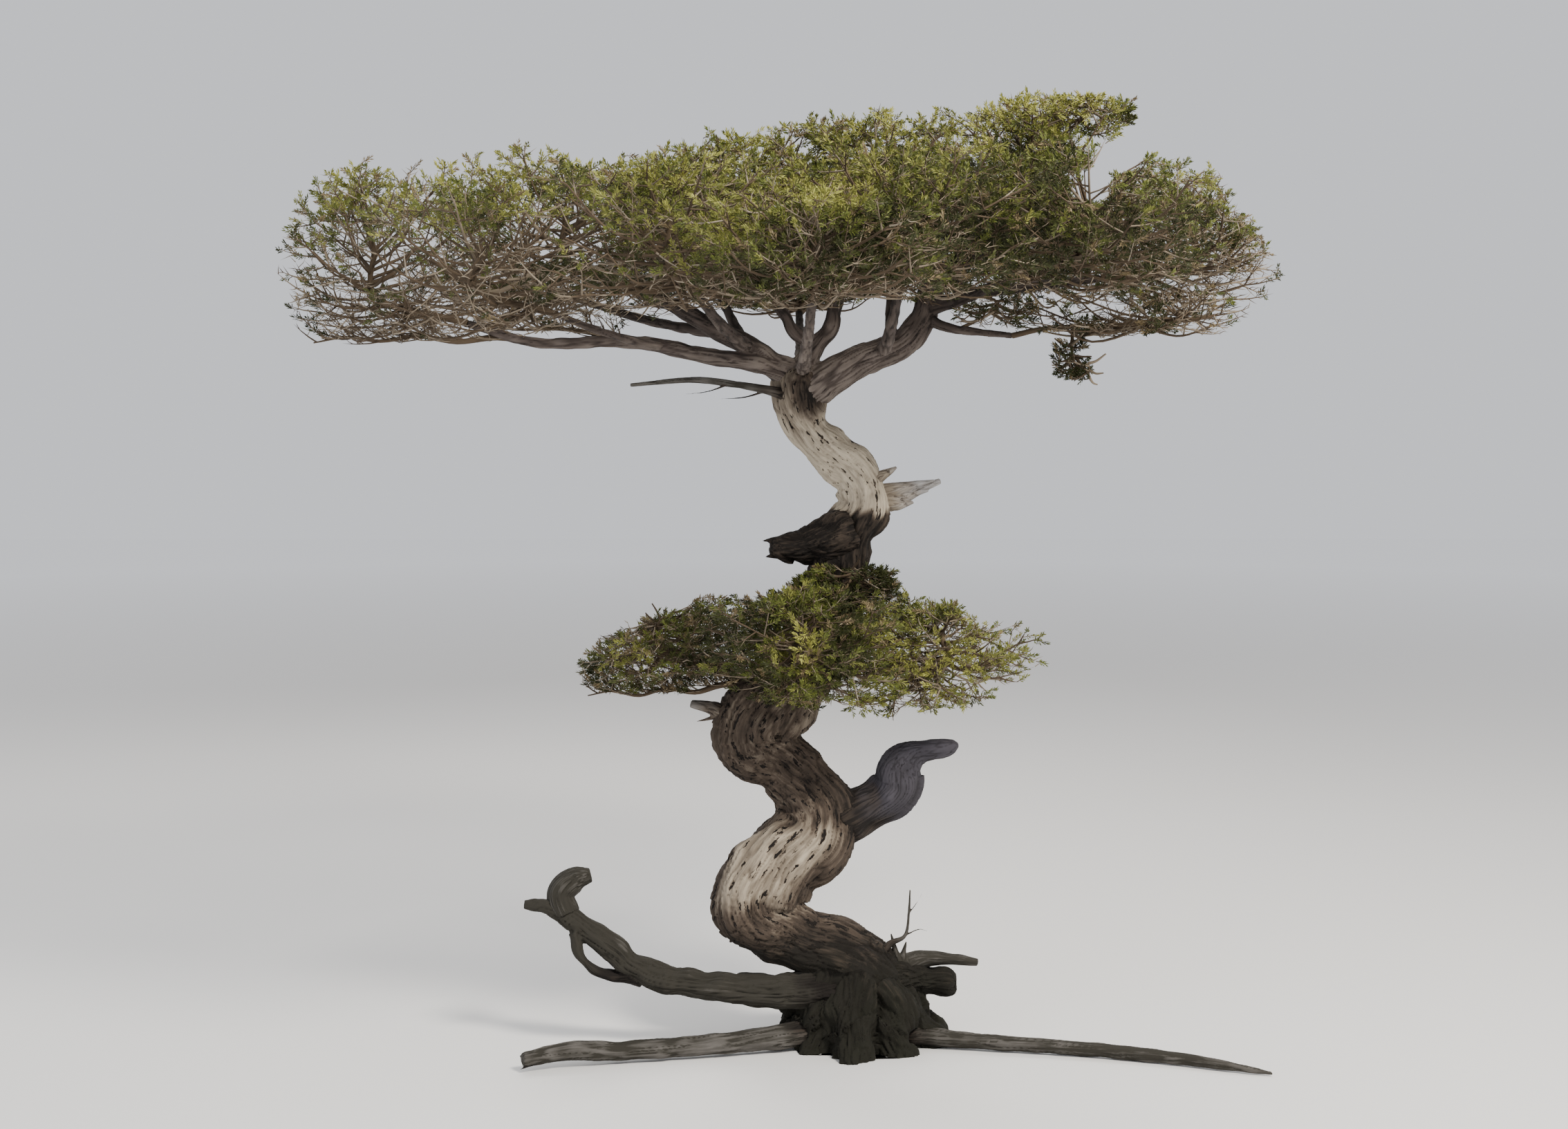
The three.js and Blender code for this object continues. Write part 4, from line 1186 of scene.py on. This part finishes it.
def sprout(space, rng):
    # one mass, or one lobe of it: its twigs of all orders, and its leaf shoots
    stem = stemOf(space)
    leaders = [np.array(leader, float) for leader in space["leaders"]]
    twigs = twigsOf(space, stem, makeDice(space["seed"]), space["twigs"], 1.0, space["lowest"],
                    isInBoth, growth["sprayRoom"] * growth["solidSpray"])
    twigs += twigsOf(space, stem, makeDice(space["seed"] + 50), space["fill"], 0.55, -0.95, isNear,
                     space["short"])
    lines, carriers = carriersOf(rng, leaders, twigs)
    starts, heads, spans = branchletsOf(space, rng, carriers)
    tips, along, reach, ends = twigletsOf(space, rng, starts, heads, spans)
    level = (ends[:, 2] - space["centre"][2]) / space["half"][2]
    depth = depthIn(space, ends)
    leafy, barren = leavesOn(space, rng, ends, level, depth)
    shown = leafy | barren
    parts = [
        *stemParts(stem, leaders),
        twigPart(rng, lines),
        branchletPart(space, rng, starts, heads, spans),
        twigletPart(rng, tips[shown], ends[shown], barren[shown]),
    ]
    kites = shootsOn(rng, tips[leafy], along[leafy], reach[leafy])
    shades = shadesOf(space, rng, ends, level, depth)
    return parts, kites.reshape(-1, 3), np.repeat(shades[leafy], growth["shoots"])


def growMass(space):
    rng = np.random.default_rng(space["seed"])
    points, faces, shades, offset = [], [], [], 0
    kites, kiteShades = [], []
    for grown in [space, *space["lobes"]]:
        parts, leaves, leafShade = sprout(grown, rng)
        kites.append(leaves)
        kiteShades.append(leafShade)
        for (shape, shapeFaces, each), tint in parts:
            points.append(shape)
            faces.append(shapeFaces + offset)
            offset += len(shape)
            shades.append(np.repeat(tint, each))
    twigs = meshOf(space["node"] + "_twigs", np.concatenate(points), np.concatenate(faces),
                   np.concatenate(shades), twigFinishes)
    activate(twigs)
    bpy.ops.object.mode_set(mode="EDIT")
    bpy.ops.mesh.select_all(action="SELECT")
    bpy.ops.mesh.remove_doubles(threshold=0.00001)
    bpy.ops.object.mode_set(mode="OBJECT")
    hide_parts(space["node"])
    kites = np.concatenate(kites)
    leaves = meshOf(space["node"] + "_leaves", kites, np.arange(len(kites)).reshape(-1, 4),
                    np.concatenate(kiteShades), leafFinishes)
    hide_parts(space["node"])
    return len(twigs.data.loops) - 2 * len(twigs.data.polygons), len(kites) // 2


twigTriangles, leafTriangles = 0, 0
for space in masses:
    twigCount, leafCount = growMass(space)
    twigTriangles += twigCount
    leafTriangles += leafCount
print("foliage:", len(masses), "masses,", twigTriangles, "triangles of twigs and", leafTriangles,
      "of leaves")


# Stage, light and camera
bpy.ops.mesh.primitive_plane_add(size=60, location=(0, 10, 0))
floor = bpy.context.object
floor.name = "floor"
floorFinish, tree, shader = newFinish("pale_floor", 0.95)
where = addNode(tree, "ShaderNodeTexCoord", {})["Object"]
distance = addNode(tree, "ShaderNodeVectorMath", {0: where}, operation="LENGTH")["Value"]
fade = combine(tree, "MULTIPLY", distance, 1 / 30)
fade = colourBand(tree, fade, [(0.15, (0.72, 0.7, 0.67)), (0.75, (0.97, 0.97, 0.97))])
tree.links.new(fade, shader.inputs["Base Color"])
floor.data.materials.append(floorFinish)

world = bpy.data.worlds.new("studio")
bpy.context.scene.world = world
world.use_nodes = True
sky = world.node_tree.nodes["Background"]
sky.inputs["Color"].default_value = (0.93, 0.95, 1.0, 1)
sky.inputs["Strength"].default_value = 0.85


def aimAt(thing, target):
    toward = Vector(target) - thing.location
    thing.rotation_euler = toward.to_track_quat("-Z", "Y").to_euler()


lamps = [
    dict(name="key", at=(4.5, -6.0, 8.5), size=2.2, power=1500, colour=(1.0, 0.95, 0.86)),
    dict(name="fill", at=(-7.0, -6.0, 4.0), size=6.0, power=150, colour=(0.9, 0.95, 1.0)),
    dict(name="rim", at=(-2.0, 6.5, 8.0), size=4.0, power=420, colour=(1.0, 0.98, 0.94)),
]
for lamp in lamps:
    bpy.ops.object.light_add(type="AREA", location=lamp["at"])
    light = bpy.context.object
    light.name = lamp["name"]
    light.data.size = lamp["size"]
    light.data.energy = lamp["power"]
    light.data.color = lamp["colour"]
    aimAt(light, (-0.2, 0, 2.2))

bpy.ops.object.camera_add(location=eye * metre)
camera = bpy.context.object
camera.name = "camera"
camera.data.lens = 52
camera.data.sensor_width = 36
aimAt(camera, (-0.3, 0, 2.0))
bpy.context.scene.camera = camera
print("stage set with", len(lamps), "lamps")
